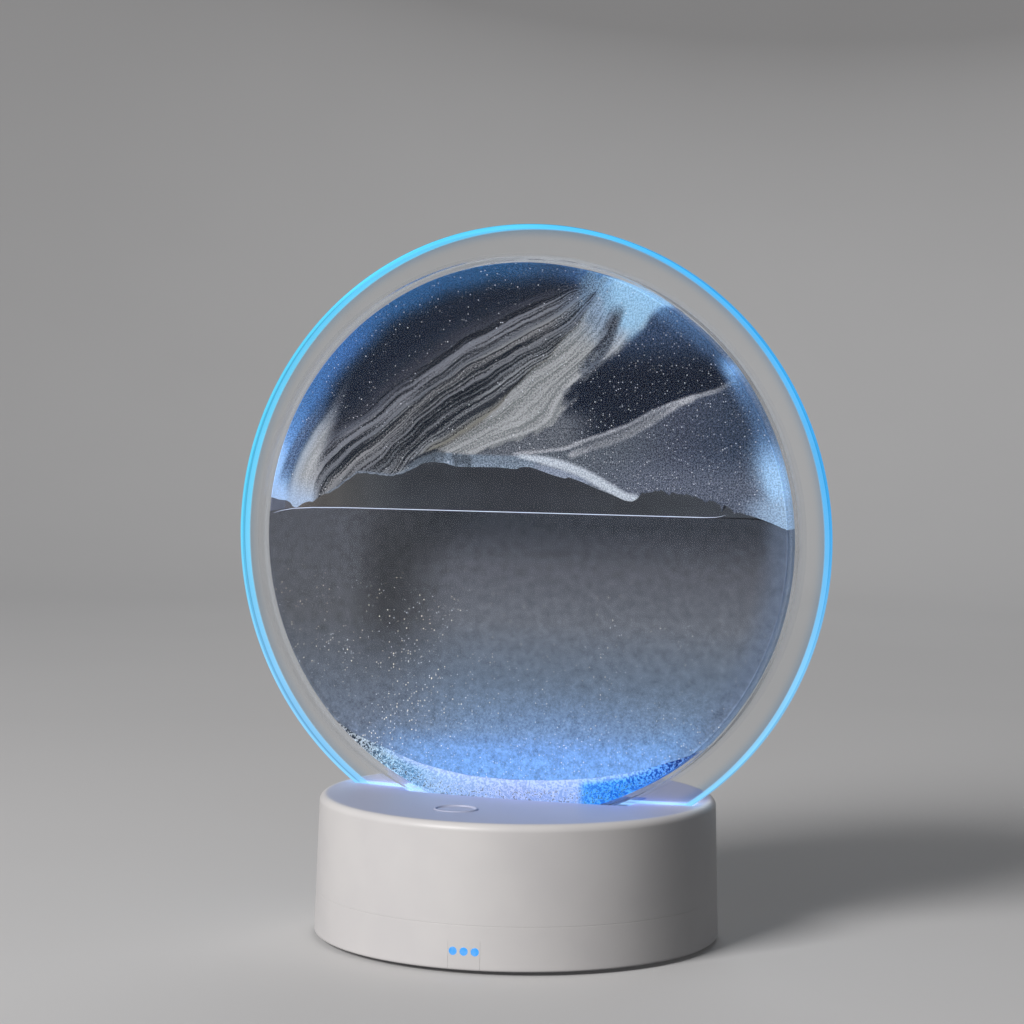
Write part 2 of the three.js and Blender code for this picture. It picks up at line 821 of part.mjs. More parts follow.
// Keeps an edge's point inside the round fill
function trimmed([x, z]) {
  const distance = Math.hypot(x, z);
  const scale = Math.min(1, fillRadius / distance);
  return [x * scale, z * scale];
}

// Sand held up over the air pocket, from its ragged lower edge to the top of the disc
function makeSandMass() {
  const lowest = liquidLevel + fitGap;
  const edge = smoothEdge(sandLowerEdgeShares).map(([x, z]) => trimmed([x, Math.max(z, lowest)]));
  const left = angleOf(edge[0]);
  const right = angleOf(edge[edge.length - 1]);
  const arc = arcPoints(0, 0, fillRadius, right, left, sandArcSteps);
  return toSolid(slab([...edge.slice(1, -1), ...arc], 2 * fillHalf));
}

function bedEdge() {
  return smoothEdge(bedTopEdgeShares).map(trimmed);
}

// Fluid from its level surface down to the settled sand
function makeLiquid() {
  const levelAngle = Math.asin(liquidLevel / fillRadius);
  const edge = bedEdge().map(([x, z]) => [x, z + fitGap]).map(trimmed);
  const first = edge[0];
  const last = edge[edge.length - 1];
  const right = arcPoints(0, 0, fillRadius, angleOf(last), levelAngle, fluidArcSteps);
  const leftStart = Math.PI - levelAngle;
  const left = arcPoints(0, 0, fillRadius, leftStart, angleOf(first) + 2 * Math.PI, fluidArcSteps);
  return toSolid(slab([...edge.slice(1, -1), ...right, ...left], 2 * fillHalf));
}

// Sand that has settled along the bottom
function makeSandBed() {
  const edge = bedEdge();
  const first = edge[0];
  const last = edge[edge.length - 1];
  const arc = arcPoints(0, 0, fillRadius, angleOf(first), angleOf(last), fluidArcSteps);
  const top = edge.slice(1, -1).reverse();
  return toSolid(slab([...arc, ...top], 2 * fillHalf));
}

// A wire from one socket on the control board, through its bends, to the places at its far end
function makeLead(socket, bendShares, farEnd) {
  const height = mainBoardTop + plugHeight / 2;
  const face = mainBoardFrontEdge - fitGap;
  const nearEnd = [[plugPlace(socket), face, height], [plugPlace(socket), face - leadStub, height]];
  const bends = bendShares.map(([x, y, z]) => [x * baseRadius, y * baseRadius, z * shellHeight]);
  const places = [...nearEnd, ...bends, ...farEnd].map((place) => new THREE.Vector3(...place));
  const extrudePath = new THREE.CatmullRomCurve3(places);
  const corners = arcPoints(0, 0, leadRadius, 0, 2 * Math.PI, leadSides).slice(1);
  const section = new THREE.Shape(corners.map(([x, y]) => new THREE.Vector2(x, y)));
  return toSolid(new THREE.ExtrudeGeometry(section, { steps: leadSteps, extrudePath }));
}

function makeLedLead() {
  const end = ledBoardTop - boardThickness - fitGap;
  const x = ledBoardLength * ledLeadPlaceShare;
  const y = plateSetback;
  const bend = [x - leadStub, y + 2 * leadStub, (end + mainBoardTop) / 2];
  return makeLead(2, [], [bend, [x, y, end - leadStub], [x, y, end]]);
}

function makeBatteryLead() {
  const end = troughLength / 2 + fitGap;
  const height = (troughBottom + cellAxis) / 2;
  const behind = troughHalfWidth - cellOffset + leadStub;
  const turn = end + leadStub + leadRadius;
  const farEnd = [
    [end, behind, height], [turn, behind - leadStub, height],
    [turn, leadStub - cellOffset, height], [end + leadStub, -cellOffset, height],
    [end, -cellOffset, height],
  ];
  return makeLead(3, batteryLeadShares, farEnd);
}

function makeIndicatorLead() {
  const distance = indicatorBoardFace - indicatorBoardThickness - fitGap;
  const x = distance * Math.sin(indicatorAngle);
  const y = -distance * Math.cos(indicatorAngle);
  const height = indicatorBoardBottom + indicatorBoardHeight * leadRiseShare;
  return makeLead(0, indicatorLeadShares, [[x, y, height]]);
}

function makeTouchLead() {
  const end = ceiling - 2 * fitGap - electrodeThickness - electrodeStemHeight;
  return makeLead(1, touchLeadShares, [[touchX, touchY, end - leadStub], [touchX, touchY, end]]);
}

const finishes = {
  shell: { color: 0xe2dfdb, roughness: 0.42, metalness: 0 },
  rubber: { color: 0x1b1b1c, roughness: 0.85, metalness: 0 },
  steel: { color: 0xa9abad, roughness: 0.35, metalness: 1 },
  copper: { color: 0xb87a4b, roughness: 0.4, metalness: 1 },
  board: { color: 0x1e5b3a, roughness: 0.5, metalness: 0 },
  lamp: { color: 0xf4f0dc, roughness: 0.3, metalness: 0 },
  cell: { color: 0x2f62a8, roughness: 0.35, metalness: 0 },
  darkPlastic: { color: 0x26282a, roughness: 0.55, metalness: 0 },
  blueLens: { color: 0x4aa8ff, roughness: 0.2, metalness: 0 },
  wire: { color: 0x9b2226, roughness: 0.5, metalness: 0 },
  acrylic: { color: 0xbfe6ff, roughness: 0.05, metalness: 0 },
  glass: { color: 0xe6f1f4, roughness: 0.03, metalness: 0 },
  gasket: { color: 0xd9dfe2, roughness: 0.4, metalness: 0 },
  sand: { color: 0x8f8f8c, roughness: 0.95, metalness: 0 },
  fluid: { color: 0x6c737c, roughness: 0.1, metalness: 0 },
  bed: { color: 0x7fb2ea, roughness: 0.9, metalness: 0 },
};

function piece(parent, name, solid, finish, x = 0, y = 0, z = 0) {
  const mesh = new THREE.Mesh(toGeometry(solid), new THREE.MeshStandardMaterial(finishes[finish]));
  mesh.name = name;
  mesh.position.set(x, y, z);
  parent.add(mesh);
  return mesh;
}

const group = new THREE.Group();

// Base
const base = new THREE.Group();
group.add(base);
piece(base, 'upper_housing', makeUpperHousing(), 'shell');
piece(base, 'lower_housing', makeLowerHousing(), 'shell');
footPlaces().forEach(([x, y], index) => {
  piece(base, `foot_${index + 1}`, makeFoot(), 'rubber', x, y);
});
const headTop = postHeadSeat - fitGap - screwHeadHeight;
const shank = postTop + fitGap + screwBite - postHeadSeat;
postPlaces().forEach(([x, y], index) => {
  const screw = makeScrew(screwRadius, shank, screwHeadRadius, screwHeadHeight);
  piece(base, `housing_screw_${index + 1}`, screw, 'steel', x, y, headTop);
});
piece(base, 'ballast_plate', makeBallast(), 'steel');
piece(base, 'touch_key', makeTouchKey(), 'shell', touchX, touchY);
piece(base, 'touch_electrode', makeTouchElectrode(), 'copper', touchX, touchY);

// Cradle and lights
piece(base, 'plate_holder', makePlateHolder(), 'shell');
lugPlaces().forEach(([x, y], index) => {
  const screw = makeScrew(smallScrewRadius, lugThickness + lugScrewBite, smallHeadRadius, smallHeadHeight);
  const height = lugHeight - lugThickness - fitGap - smallHeadHeight;
  piece(base, `holder_screw_${index + 1}`, screw, 'steel', x, y, height);
});
piece(base, 'led_board', makeLedBoard(), 'board');
for (let index = 0; index < ledCount; index += 1) {
  const x = (index - (ledCount - 1) / 2) * ledPitch;
  const z = ledBoardTop + sealGap + ledHeight / 2;
  const lamp = toSolid(box(ledLength, ledWidth, ledHeight));
  piece(base, `led_${index + 1}`, lamp, 'lamp', x, plateSetback, z);
}
ledBoardScrewPlaces().forEach(([x, y], index) => {
  const length = boardThickness + ledBoardScrewBite - fitGap;
  const screw = makeScrew(smallScrewRadius, length, smallHeadRadius, smallHeadHeight);
  const height = ledBoardTop - boardThickness - fitGap - smallHeadHeight;
  piece(base, `led_board_screw_${index + 1}`, screw, 'steel', x, y, height);
});

// Power and control
piece(base, 'main_board', makeMainBoard(), 'board');
boardPostPlaces().forEach(([x, y], index) => {
  const length = boardThickness + boardScrewBite;
  const screw = makeScrew(smallScrewRadius, length, smallHeadRadius, smallHeadHeight);
  const mesh = piece(base, `main_board_screw_${index + 1}`, screw, 'steel', x, y);
  mesh.rotation.x = Math.PI;
  mesh.position.z = mainBoardTop + fitGap + smallHeadHeight;
});
piece(base, 'charge_socket', makeChargeSocket(), 'steel');
piece(base, 'battery_holder', makeBatteryHolder(), 'darkPlastic', 0, -cellOffset);
const cell = piece(base, 'battery_cell', makeBatteryCell(), 'cell', -cellLength / 2, -cellOffset, cellAxis);
cell.rotation.y = quarterTurn;

// Charge window
piece(base, 'indicator_insert', makeIndicatorInsert(), 'shell');
makeLenses().forEach((lens, index) => {
  piece(base, `indicator_lens_${index + 1}`, lens, 'blueLens');
});
piece(base, 'indicator_board', makeIndicatorBoard(), 'board');

// Wires
piece(base, 'led_lead', makeLedLead(), 'wire');
piece(base, 'battery_lead', makeBatteryLead(), 'wire');
piece(base, 'indicator_lead', makeIndicatorLead(), 'wire');
piece(base, 'touch_lead', makeTouchLead(), 'wire');

// Plate, which lifts out of the slot
const panel = new THREE.Group();
panel.position.set(0, plateSetback, panelCentre);
group.add(panel);
piece(panel, 'light_plate', makeLightPlate(), 'acrylic');

// Disc, which turns in the plate
const disc = new THREE.Group();
panel.add(disc);
for (const [side, turn] of [['rear', 0], ['front', Math.PI]]) {
  piece(disc, `${side}_rim`, makeRim(), 'acrylic').rotation.z = turn;
  piece(disc, `${side}_pane`, makePane(), 'glass').rotation.z = turn;
  piece(disc, `${side}_seal`, makeSeal(), 'gasket').rotation.z = turn;
}
piece(disc, 'sand_mass', makeSandMass(), 'sand');
piece(disc, 'liquid', makeLiquid(), 'fluid');
piece(disc, 'sand_bed', makeSandBed(), 'bed');

export default group;
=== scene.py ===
"""Looks of a sand art table lamp: a sealed sand picture in an edge-lit clear plate on a round base.

Metres, +Z up, front towards -Y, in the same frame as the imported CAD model. Shapes are written in
millimetres and scaled when their mesh is made. Screen colours are written from 0 to 255.
"""

import logging
import math
from collections.abc import Sequence
from dataclasses import dataclass, field
from enum import Enum
from functools import cache

import bmesh
import bpy
import numpy as np
from mathutils import Matrix, Vector


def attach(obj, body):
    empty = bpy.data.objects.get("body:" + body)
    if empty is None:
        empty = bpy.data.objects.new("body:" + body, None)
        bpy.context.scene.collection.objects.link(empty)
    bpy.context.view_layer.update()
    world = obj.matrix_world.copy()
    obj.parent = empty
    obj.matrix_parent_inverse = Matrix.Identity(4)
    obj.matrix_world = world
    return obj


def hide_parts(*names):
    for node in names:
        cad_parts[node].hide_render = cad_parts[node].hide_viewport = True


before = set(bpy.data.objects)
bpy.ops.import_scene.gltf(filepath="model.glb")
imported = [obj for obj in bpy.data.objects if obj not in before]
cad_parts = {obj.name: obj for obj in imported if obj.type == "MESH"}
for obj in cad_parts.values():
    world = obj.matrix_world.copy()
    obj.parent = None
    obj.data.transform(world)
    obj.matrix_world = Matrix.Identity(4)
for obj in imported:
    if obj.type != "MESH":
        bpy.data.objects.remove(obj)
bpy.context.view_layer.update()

LOG = logging.getLogger("lamp")
MM = 0.001
FULL_TURN = 2 * math.pi
WELD = 0.002 * MM
SLIVER = 0.001 * MM
LATTICE = 97
# Columns of a wash's look; the last is the share of colour given off as painted light.
STRIPES, FLAKES, PAINTED_GLOW = range(3)
# Reach at which the cell's side wall gets painted light in place of the shade it would fall into.
WALL_LIGHT = (0.9975, 0.9995)
Grid = np.ndarray
Piece = bpy.types.Object
Socket = bpy.types.NodeSocket
Pair = tuple[float, float]
Triple = tuple[float, float, float]
Colour = Triple
Rows = Sequence[tuple[float, ...]]
BLACK: Colour = (0.0, 0.0, 0.0)
DISC_CENTRE: Pair = (2.5, 127.236)


class Turn(Enum):
    """The axis that a profile is turned about."""

    UPRIGHT = "z"
    ACROSS = "y"


class Body(Enum):
    """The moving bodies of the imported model."""

    BASE = "base"
    PLATE = "plate"
    DISC = "disc"


class Join(Enum):
    """What a boolean does with its tools."""

    CUT = "DIFFERENCE"
    ADD = "UNION"


# Shapes


def lathe(profile: Sequence[Pair], steps: int, turn: Turn = Turn.UPRIGHT) -> Grid:
    """Turns a profile about an axis: two coordinates are the radius times the cosine and sine of the angle.

    Args:
        profile: Points of (radius, height), from pole to pole or round a closed loop.
        steps: Facets in a full turn.
        turn: Upright, or across for shapes that turn about the disc's axis.

    Returns:
        A grid of points, profile by angle, with its seam doubled.
    """
    radius, height = np.asarray(profile, float).T[..., None]
    angle = np.linspace(0, FULL_TURN, steps + 1)
    x, y, rise = np.broadcast_arrays(radius * np.cos(angle), radius * np.sin(angle), height)
    return np.stack([x, y, rise] if turn is Turn.UPRIGHT else [x, rise, y], -1)


def arc(centre: Pair, radius: float, start: float, end: float, steps: int) -> list:
    """Points on a circle between two angles.

    Args:
        centre: The circle's centre.
        radius: Its radius.
        start: First angle in degrees.
        end: Last angle in degrees.
        steps: Spans between the two.

    Returns:
        A list of [x, y] points, both ends included.
    """
    angle = np.radians(np.linspace(start, end, steps + 1))
    return np.column_stack([centre[0] + radius * np.cos(angle), centre[1] + radius * np.sin(angle)]).tolist()


def fade(low: float, high: float, value: Grid) -> Grid:
    """0 below low, 1 above high and a cubic ease between, also with low above high."""
    share = np.clip((value - low) / (high - low), 0, 1)
    return share * share * (3 - 2 * share)


def ripple(value: Grid, seed: int, octaves: int) -> Grid:
    """A rough line: a sum of sines whose waves get shorter and lower, with phases from the seed.

    Args:
        value: Places along the line, where 1 is the longest wave.
        seed: Chooses the phases.
        octaves: How many sines are added.

    Returns:
        Heights of about -1 to 1, in the shape of value.
    """
    phases = np.random.default_rng(seed).uniform(0, FULL_TURN, octaves)
    waves = (np.sin(FULL_TURN * value * 1.9**power + phase) * 0.62**power for power, phase in enumerate(phases))
    return sum(waves) / 2


def mottle(spots: Grid, scale: float, seed: int, octaves: int = 3) -> Grid:
    """Smooth patches: random heights at a lattice's corners, eased between them, with finer lattices added.

    Args:
        spots: Points, shape (n, 2).
        scale: Lattice cells for each unit.
        seed: Chooses the heights.
        octaves: How many lattices are added, each twice as fine and half as high.

    Returns:
        Heights of about -1 to 1, shape (n,).
    """
    total = np.zeros(len(spots))
    for octave in range(octaves):
        heights = np.random.default_rng(seed + octave).uniform(-1, 1, (LATTICE, LATTICE))
        cell = np.asarray(spots) * scale * 2**octave
        base = np.floor(cell).astype(int)
        x, y = fade(0, 1, cell - base).T
        low, high = (base % LATTICE).T, ((base + 1) % LATTICE).T
        near = heights[low[0], low[1]] * (1 - x) + heights[high[0], low[1]] * x
        far = heights[low[0], high[1]] * (1 - x) + heights[high[0], high[1]] * x
        total += (near * (1 - y) + far * y) * 0.5**octave
    return total / 1.3


def smooth(mesh: bpy.types.Mesh, sharp: float) -> None:
    """Welds a mesh, drops faces without an area, turns the rest outward and smooths all but sharp edges.

    Args:
        mesh: The mesh, which is changed.
        sharp: Edges bent more than this many degrees stay sharp.
    """
    work = bmesh.new()
    work.from_mesh(mesh)
    bmesh.ops.remove_doubles(work, verts=work.verts, dist=WELD)
    bmesh.ops.dissolve_degenerate(work, edges=work.edges, dist=SLIVER)
    bmesh.ops.recalc_face_normals(work, faces=work.faces)
    work.to_mesh(mesh)
    work.free()
    mesh.shade_smooth()
    mesh.set_sharp_from_angle(angle=math.radians(sharp))


def mesh_object(name: str, grid: Grid, sharp: float = 35.0) -> Piece:
    """Makes one closed mesh from a grid of points, welding its seams and poles.

    Args:
        name: Name of the new object.
        grid: Points in millimetres, shape (rows, columns, 3).
        sharp: Edges bent more than this many degrees stay sharp.

    Returns:
        The new object, at the origin, with its place in its mesh.
    """
    index = np.arange(grid.shape[0] * grid.shape[1]).reshape(grid.shape[:2])
    corners = (index[:-1, :-1], index[:-1, 1:], index[1:, 1:], index[1:, :-1])
    faces = np.stack([corner.ravel() for corner in corners], -1)
    mesh = bpy.data.meshes.new(name)
    mesh.from_pydata((grid.reshape(-1, 3) * MM).tolist(), [], faces.tolist())
    smooth(mesh, sharp)
    piece = bpy.data.objects.new(name, mesh)
    bpy.context.scene.collection.objects.link(piece)
    return piece


def turned(name: str, profile: Sequence[Pair], steps: int, turn: Turn = Turn.UPRIGHT, sharp: float = 35.0) -> Piece:
    """A turned piece, from its profile as lathe reads it."""
    return mesh_object(name, lathe(profile, steps, turn), sharp)


def bar(name: str, radius: float, low: float, high: float, steps: int = 40, turn: Turn = Turn.UPRIGHT) -> Piece:
    """A round bar on its axis, from one height to another."""
    return turned(name, [(0, low), (radius, low), (radius, high), (0, high)], steps, turn)


def box(name: str, low: Sequence[float], high: Sequence[float]) -> Piece:
    """A box from its lowest to its highest corner: a pole, two square rings and a pole.

    Args:
        name: Name of the new piece.
        low: Lowest corner.
        high: Highest corner.

    Returns:
        The new piece, in place.
    """
    (x0, y0, z0), (x1, y1, z1) = low, high
    ring = np.array([(x0, y0), (x1, y0), (x1, y1), (x0, y1), (x0, y0)])
    middle = np.broadcast_to((ring[0] + ring[2]) / 2, ring.shape)
    layers = [(middle, z0), (ring, z0), (ring, z1), (middle, z1)]
    return mesh_object(name, np.stack([np.column_stack([flat, np.full(5, z)]) for flat, z in layers]))


def capped(name: str, loops: Grid) -> Piece:
    """A closed sweep: a loop at each row, its first and last filled from their middle."""
    caps = [np.broadcast_to(loops[end, :-1].mean(0), loops[0].shape)[None] for end in (0, -1)]
    return mesh_object(name, np.concatenate([caps[0], loops, caps[1]]))


def cut(piece: Piece, tools: Sequence[Piece], sharp: float = 35.0, join: Join = Join.CUT) -> None:
    """Cuts holes in a closed piece, or joins shapes to it, and removes the tools.

    Args:
        piece: The piece that is changed.
        tools: Closed shapes, in place.
        sharp: Edges bent more than this many degrees stay sharp.
        join: Whether the tools are cut out or added.
    """
    for tool in tools:
        modifier = piece.modifiers.new(tool.name, "BOOLEAN")
        modifier.operation = join.value
        modifier.solver = "EXACT"
        modifier.object = tool
    bpy.context.view_layer.update()
    seen = piece.evaluated_get(bpy.context.evaluated_depsgraph_get())
    mesh = bpy.data.meshes.new_from_object(seen)
    piece.modifiers.clear()
    old, piece.data = piece.data, mesh
    smooth(mesh, sharp)
    waste = [old, *(tool.data for tool in tools)]
    for tool in tools:
        bpy.data.objects.remove(tool)
    for mesh in waste:
        bpy.data.meshes.remove(mesh)


def moved(piece: Piece, x: float, y: float, z: float) -> Piece:
    """Shifts a piece's mesh by millimetres and leaves its object at the origin."""
    piece.data.transform(Matrix.Translation((x * MM, y * MM, z * MM)))
    return piece


def place(piece: Piece, body: Body, slot: str, *nodes: str) -> None:
    """Gives a new piece its body and hides the CAD nodes that it stands for.

    Args:
        piece: The finished piece.
        body: The body that it moves with.
        slot: The material slot's name, which is not used.
        nodes: CAD nodes that it replaces.
    """
    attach(piece, body.value)
    if nodes:
        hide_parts(*nodes)
    LOG.info("%s: %d faces on %s", piece.name, len(piece.data.polygons), body.value)


def store(piece: Piece, **values: Grid) -> None:
    """Writes attributes of three numbers a vertex, which its material reads.

    Args:
        piece: The piece.
        values: Arrays of shape (n, 3) by attribute name, colours in linear light.
    """
    for name, numbers in values.items():
        layer = piece.data.attributes.new(name, "FLOAT_COLOR", "POINT")
        full = np.column_stack([numbers, np.ones(len(numbers))]).astype(np.float32)
        layer.data.foreach_set("color", full.ravel())


def vertices(piece: Piece) -> Grid:
    """The places of a piece's vertices, in millimetres.

    Args:
        piece: The piece.

    Returns:
        Places, shape (n, 3).
    """
    flat = np.empty(len(piece.data.vertices) * 3, np.float32)
    piece.data.vertices.foreach_get("co", flat)
    return flat.reshape(-1, 3).astype(float) / MM


def linear_grid(colours: Grid) -> Grid:
    """Turns screen colours into linear light, for a whole array."""
    share = np.clip(colours / 255, 0, 1)
    return np.where(share <= 0.04045, share / 12.92, ((share + 0.055) / 1.055) ** 2.4)


def linear(*screen: float) -> Colour:
    """Turns one screen colour into linear light."""
    return tuple(linear_grid(np.array(screen)).tolist())


# Materials


class Nodes:
    """Builds one material's node tree, a line a node."""

    def __init__(self, name: str) -> None:
        """Starts an empty material with its output.

        Args:
            name: The material's name.
        """
        self.material = bpy.data.materials.new(name)
        self.material.use_nodes = True
        self.tree = self.material.node_tree
        self.tree.nodes.clear()
        self.output = self.tree.nodes.new("ShaderNodeOutputMaterial")

    def add(self, kind: str, inputs: dict, **settings: object) -> bpy.types.Node:
        """Adds a node.

        Args:
            kind: The node's type, without its ShaderNode prefix.
            inputs: Values or sockets by input name or number.
            settings: Values for the node's own settings.

        Returns:
            The new node.
        """
        node = self.tree.nodes.new("ShaderNode" + kind)
        for key, value in settings.items():
            setattr(node, key, value)
        for key, value in inputs.items():
            self.feed(node.inputs[key], value)
        return node

    def feed(self, socket: Socket, value: object) -> None:
        """Links a socket to an input, or sets the input's own value.

        Args:
            socket: The node's input.
            value: A socket, a colour or a plain value.
        """
        if isinstance(value, Socket):
            self.tree.links.new(value, socket)
        elif isinstance(value, tuple) and socket.type == "RGBA":
            socket.default_value = (*value, 1.0)
        else:
            socket.default_value = value

    def math(self, operation: str, *values: object) -> Socket:
        """The result of a Math node on up to three values."""
        return self.add("Math", dict(enumerate(values)), operation=operation).outputs[0]

    def line(self, value: object, factor: object, offset: object) -> Socket:
        """The value times a factor, plus an offset."""
        return self.math("MULTIPLY_ADD", value, factor, offset)

    def times(self, first: object, *others: object) -> Socket:
        """The product of all values.

        Args:
            first: A socket or value.
            others: What it is multiplied by.

        Returns:
            The product's socket.
        """
        for value in others:
            first = self.math("MULTIPLY", first, value)
        return first

    def reach(self, first: object, second: object) -> Socket:
        """The distance from the middle, by two coordinates: the root of the sum of their squares."""
        return self.math("SQRT", self.math("ADD", self.times(first, first), self.times(second, second)))

    def gap(self, value: object, target: float) -> Socket:
        """How far a value is from a target, either way."""
        return self.math("ABSOLUTE", self.math("SUBTRACT", value, target))

    def ease(self, value: object, low: float, high: float) -> Socket:
        """A smooth step from 0 at low to 1 at high, where low may be above high.

        Args:
            value: What is read.
            low: Where the step starts.
            high: Where it ends.

        Returns:
            The step's socket.
        """
        flip = low > high
        inputs = {"Value": value, "From Min": min(low, high), "From Max": max(low, high)}
        inputs |= {"To Min": float(flip), "To Max": float(not flip)}
        return self.add("MapRange", inputs, interpolation_type="SMOOTHSTEP").outputs[0]

    def mix(self, share: object, first: object, second: object) -> Socket:
        """A colour between two colours."""
        return self.add("Mix", {0: share, 6: first, 7: second}, data_type="RGBA").outputs[2]

    def spot(self, centre: Triple = (0.0, 0.0, 0.0), scale: Triple = (1.0, 1.0, 1.0)) -> Socket:
        """Object coordinates counted from a centre, then scaled.

        Args:
            centre: The point that becomes the origin, in metres.
            scale: A factor for each axis.

        Returns:
            The vector's socket.
        """
        source = self.add("TexCoord", {}).outputs["Object"]
        shift = self.add("VectorMath", {0: source, 1: centre}, operation="SUBTRACT").outputs[0]
        return self.add("Mapping", {"Vector": shift, "Scale": scale}).outputs[0]

    def parts(self, vector: Socket) -> tuple:
        """The x, y and z sockets of a vector."""
        return tuple(self.add("SeparateXYZ", {0: vector}).outputs)

    def stored(self, name: str) -> Socket:
        """A stored attribute of the piece."""
        return self.add("Attribute", {}, attribute_name=name).outputs["Color"]

    def shaded(self, colour: Socket, factor: object) -> Socket:
        """A colour times a factor."""
        return self.add("VectorMath", {0: colour, "Scale": factor}, operation="SCALE").outputs[0]

    def noise(self, vector: object, scale: float, detail: float = 3.0, roughness: float = 0.5) -> Socket:
        """The value of a Noise Texture on a vector."""
        inputs = {"Vector": vector, "Scale": scale, "Detail": detail, "Roughness": roughness}
        return self.add("TexNoise", inputs).outputs[0]

    def cells(self, vector: object, size: float) -> tuple:
        """Random cells of a size in metres: two random numbers a cell and the distance from its middle."""
        voronoi = self.add("TexVoronoi", {"Vector": vector, "Scale": 1 / size})
        return (*self.parts(voronoi.outputs["Color"])[:2], voronoi.outputs["Distance"])

    def chosen(self, chance: object, share: object, span: object) -> Socket:
        """How far a random number of 0 to 1 lies in its top share, counted in spans and never below 0."""
        over = self.math("SUBTRACT", self.math("ADD", chance, share), 1.0)
        return self.math("MAXIMUM", self.math("DIVIDE", over, span), 0.0)

    def bump(self, height: object, distance: float, strength: float) -> Socket:
        """A normal bent by a height of that many metres."""
        return self.add("Bump", {"Height": height, "Distance": distance, "Strength": strength}).outputs[0]

    def principled(self, **inputs: object) -> bpy.types.Material:
        """Ends the tree in a Principled shader, with its inputs by name, and returns the material.

        Args:
            inputs: Values or sockets by input name, in lower case.

        Returns:
            The finished material.
        """
        named = {key.replace("_", " ").title().replace("Ior", "IOR"): value for key, value in inputs.items()}
        shader = self.add("BsdfPrincipled", named)
        self.tree.links.new(shader.outputs[0], self.output.inputs[0])
        return self.material


@dataclass(frozen=True)
class Finish:
    """A named material, built once, whose shader inputs each kind of finish works out."""

    name: str

    def inputs(self, nodes: Nodes) -> dict:
        """The Principled shader's inputs, by name."""
        raise NotImplementedError

    @cache
    def material(self) -> bpy.types.Material:
        """Builds the material."""
        nodes = Nodes(self.name)
        return nodes.principled(**self.inputs(nodes))


@dataclass(frozen=True)
class MouldedPlastic(Finish):
    """Satin moulded plastic with a fine spark texture, slightly uneven in colour and gloss."""

    colour: Colour
    shade: Colour
    roughness: float = 0.42
    patches: float = 45.0
    grain: float = 1 / 0.00035
    depth: float = 0.00002

    def inputs(self, nodes: Nodes) -> dict:
        """Patchy colour and gloss over a fine texture.

        Args:
            nodes: The material's node tree.

        Returns:
            The shader's inputs, by name.
        """
        spot = nodes.spot()
        cloud = nodes.noise(spot, self.patches)
        return {
            "base_color": nodes.mix(nodes.ease(cloud, 0.3, 0.75), self.shade, self.colour),
            "roughness": nodes.line(cloud, 0.1, self.roughness - 0.05),
            "normal": nodes.bump(nodes.noise(spot, self.grain, 2.0), self.depth, 0.5),
        }


@dataclass(frozen=True)
class LitShell(MouldedPlastic):
    """The housing's white plastic, tinted by the light that leaves the slot and the plate, in metres."""

    name: str = "satin_white_shell"
    colour: Colour = linear(226, 223, 221)
    shade: Colour = linear(219, 216, 215)
    roughness: float = 0.41
    patches: float = 38.0
    grain: float = 2600.0
    spill: Colour = linear(96, 132, 255)
    bathed: Colour = linear(166, 178, 220)
    strength: float = 0.55
    slot: float = DISC_CENTRE[0] * MM
    slot_side: Pair = (0.03, 0.002)
    slot_wall: Pair = (0.0105, 0.0035)
    slot_end: Pair = (0.064, 0.044)
    top: Pair = (0.034, 0.038)
    dish: Pair = (0.0626, 0.0604)

    def inputs(self, nodes: Nodes) -> dict:
        """The plastic with a blue tint that fades away from the slot and down the slot's walls.

        Args:
            nodes: The material's node tree.

        Returns:
            The shader's inputs, by name.
        """
        skin = super().inputs(nodes)
        x, y, z = nodes.parts(nodes.spot())
        away = nodes.gap(y, self.slot)
        high = nodes.ease(z, *self.top)
        near = nodes.math("POWER", nodes.ease(away, *self.slot_side), 2.0)
        tint = nodes.line(near, 0.26, nodes.times(nodes.ease(away, *self.slot_wall), 0.3))
        tint = nodes.times(tint, nodes.ease(nodes.math("ABSOLUTE", x), *self.slot_end), high)
        dish = nodes.times(nodes.ease(nodes.reach(x, y), *self.dish), high)
        skin["base_color"] = nodes.mix(nodes.times(dish, 0.62), skin["base_color"], self.bathed)
        behind = nodes.times(nodes.ease(y, self.slot + 0.004, self.slot + 0.01), dish)
        behind = nodes.times(behind, nodes.line(nodes.ease(x, -0.03, 0.03), 0.16, 0.02))
        shine = nodes.mix(nodes.math("ADD", tint, behind), BLACK, self.spill)
        return dict(**skin, emission_color=shine, emission_strength=self.strength)


@dataclass(frozen=True)
class Metal(Finish):
    """Bare or plated metal with fine streaks."""

    colour: Colour
    shade: Colour
    roughness: float = 0.32
    streak: float = 900.0

    def inputs(self, nodes: Nodes) -> dict:
        """Streaky colour and gloss.

        Args:
            nodes: The material's node tree.

        Returns:
            The shader's inputs, by name.
        """
        streaks = nodes.noise(nodes.spot(scale=(1.0, 1.0, 0.06)), self.streak, 4.0)
        return dict(
            base_color=nodes.mix(streaks, self.shade, self.colour), metallic=1.0,
            roughness=nodes.line(streaks, 0.2, self.roughness - 0.1), normal=nodes.bump(streaks, 0.000008, 0.4))


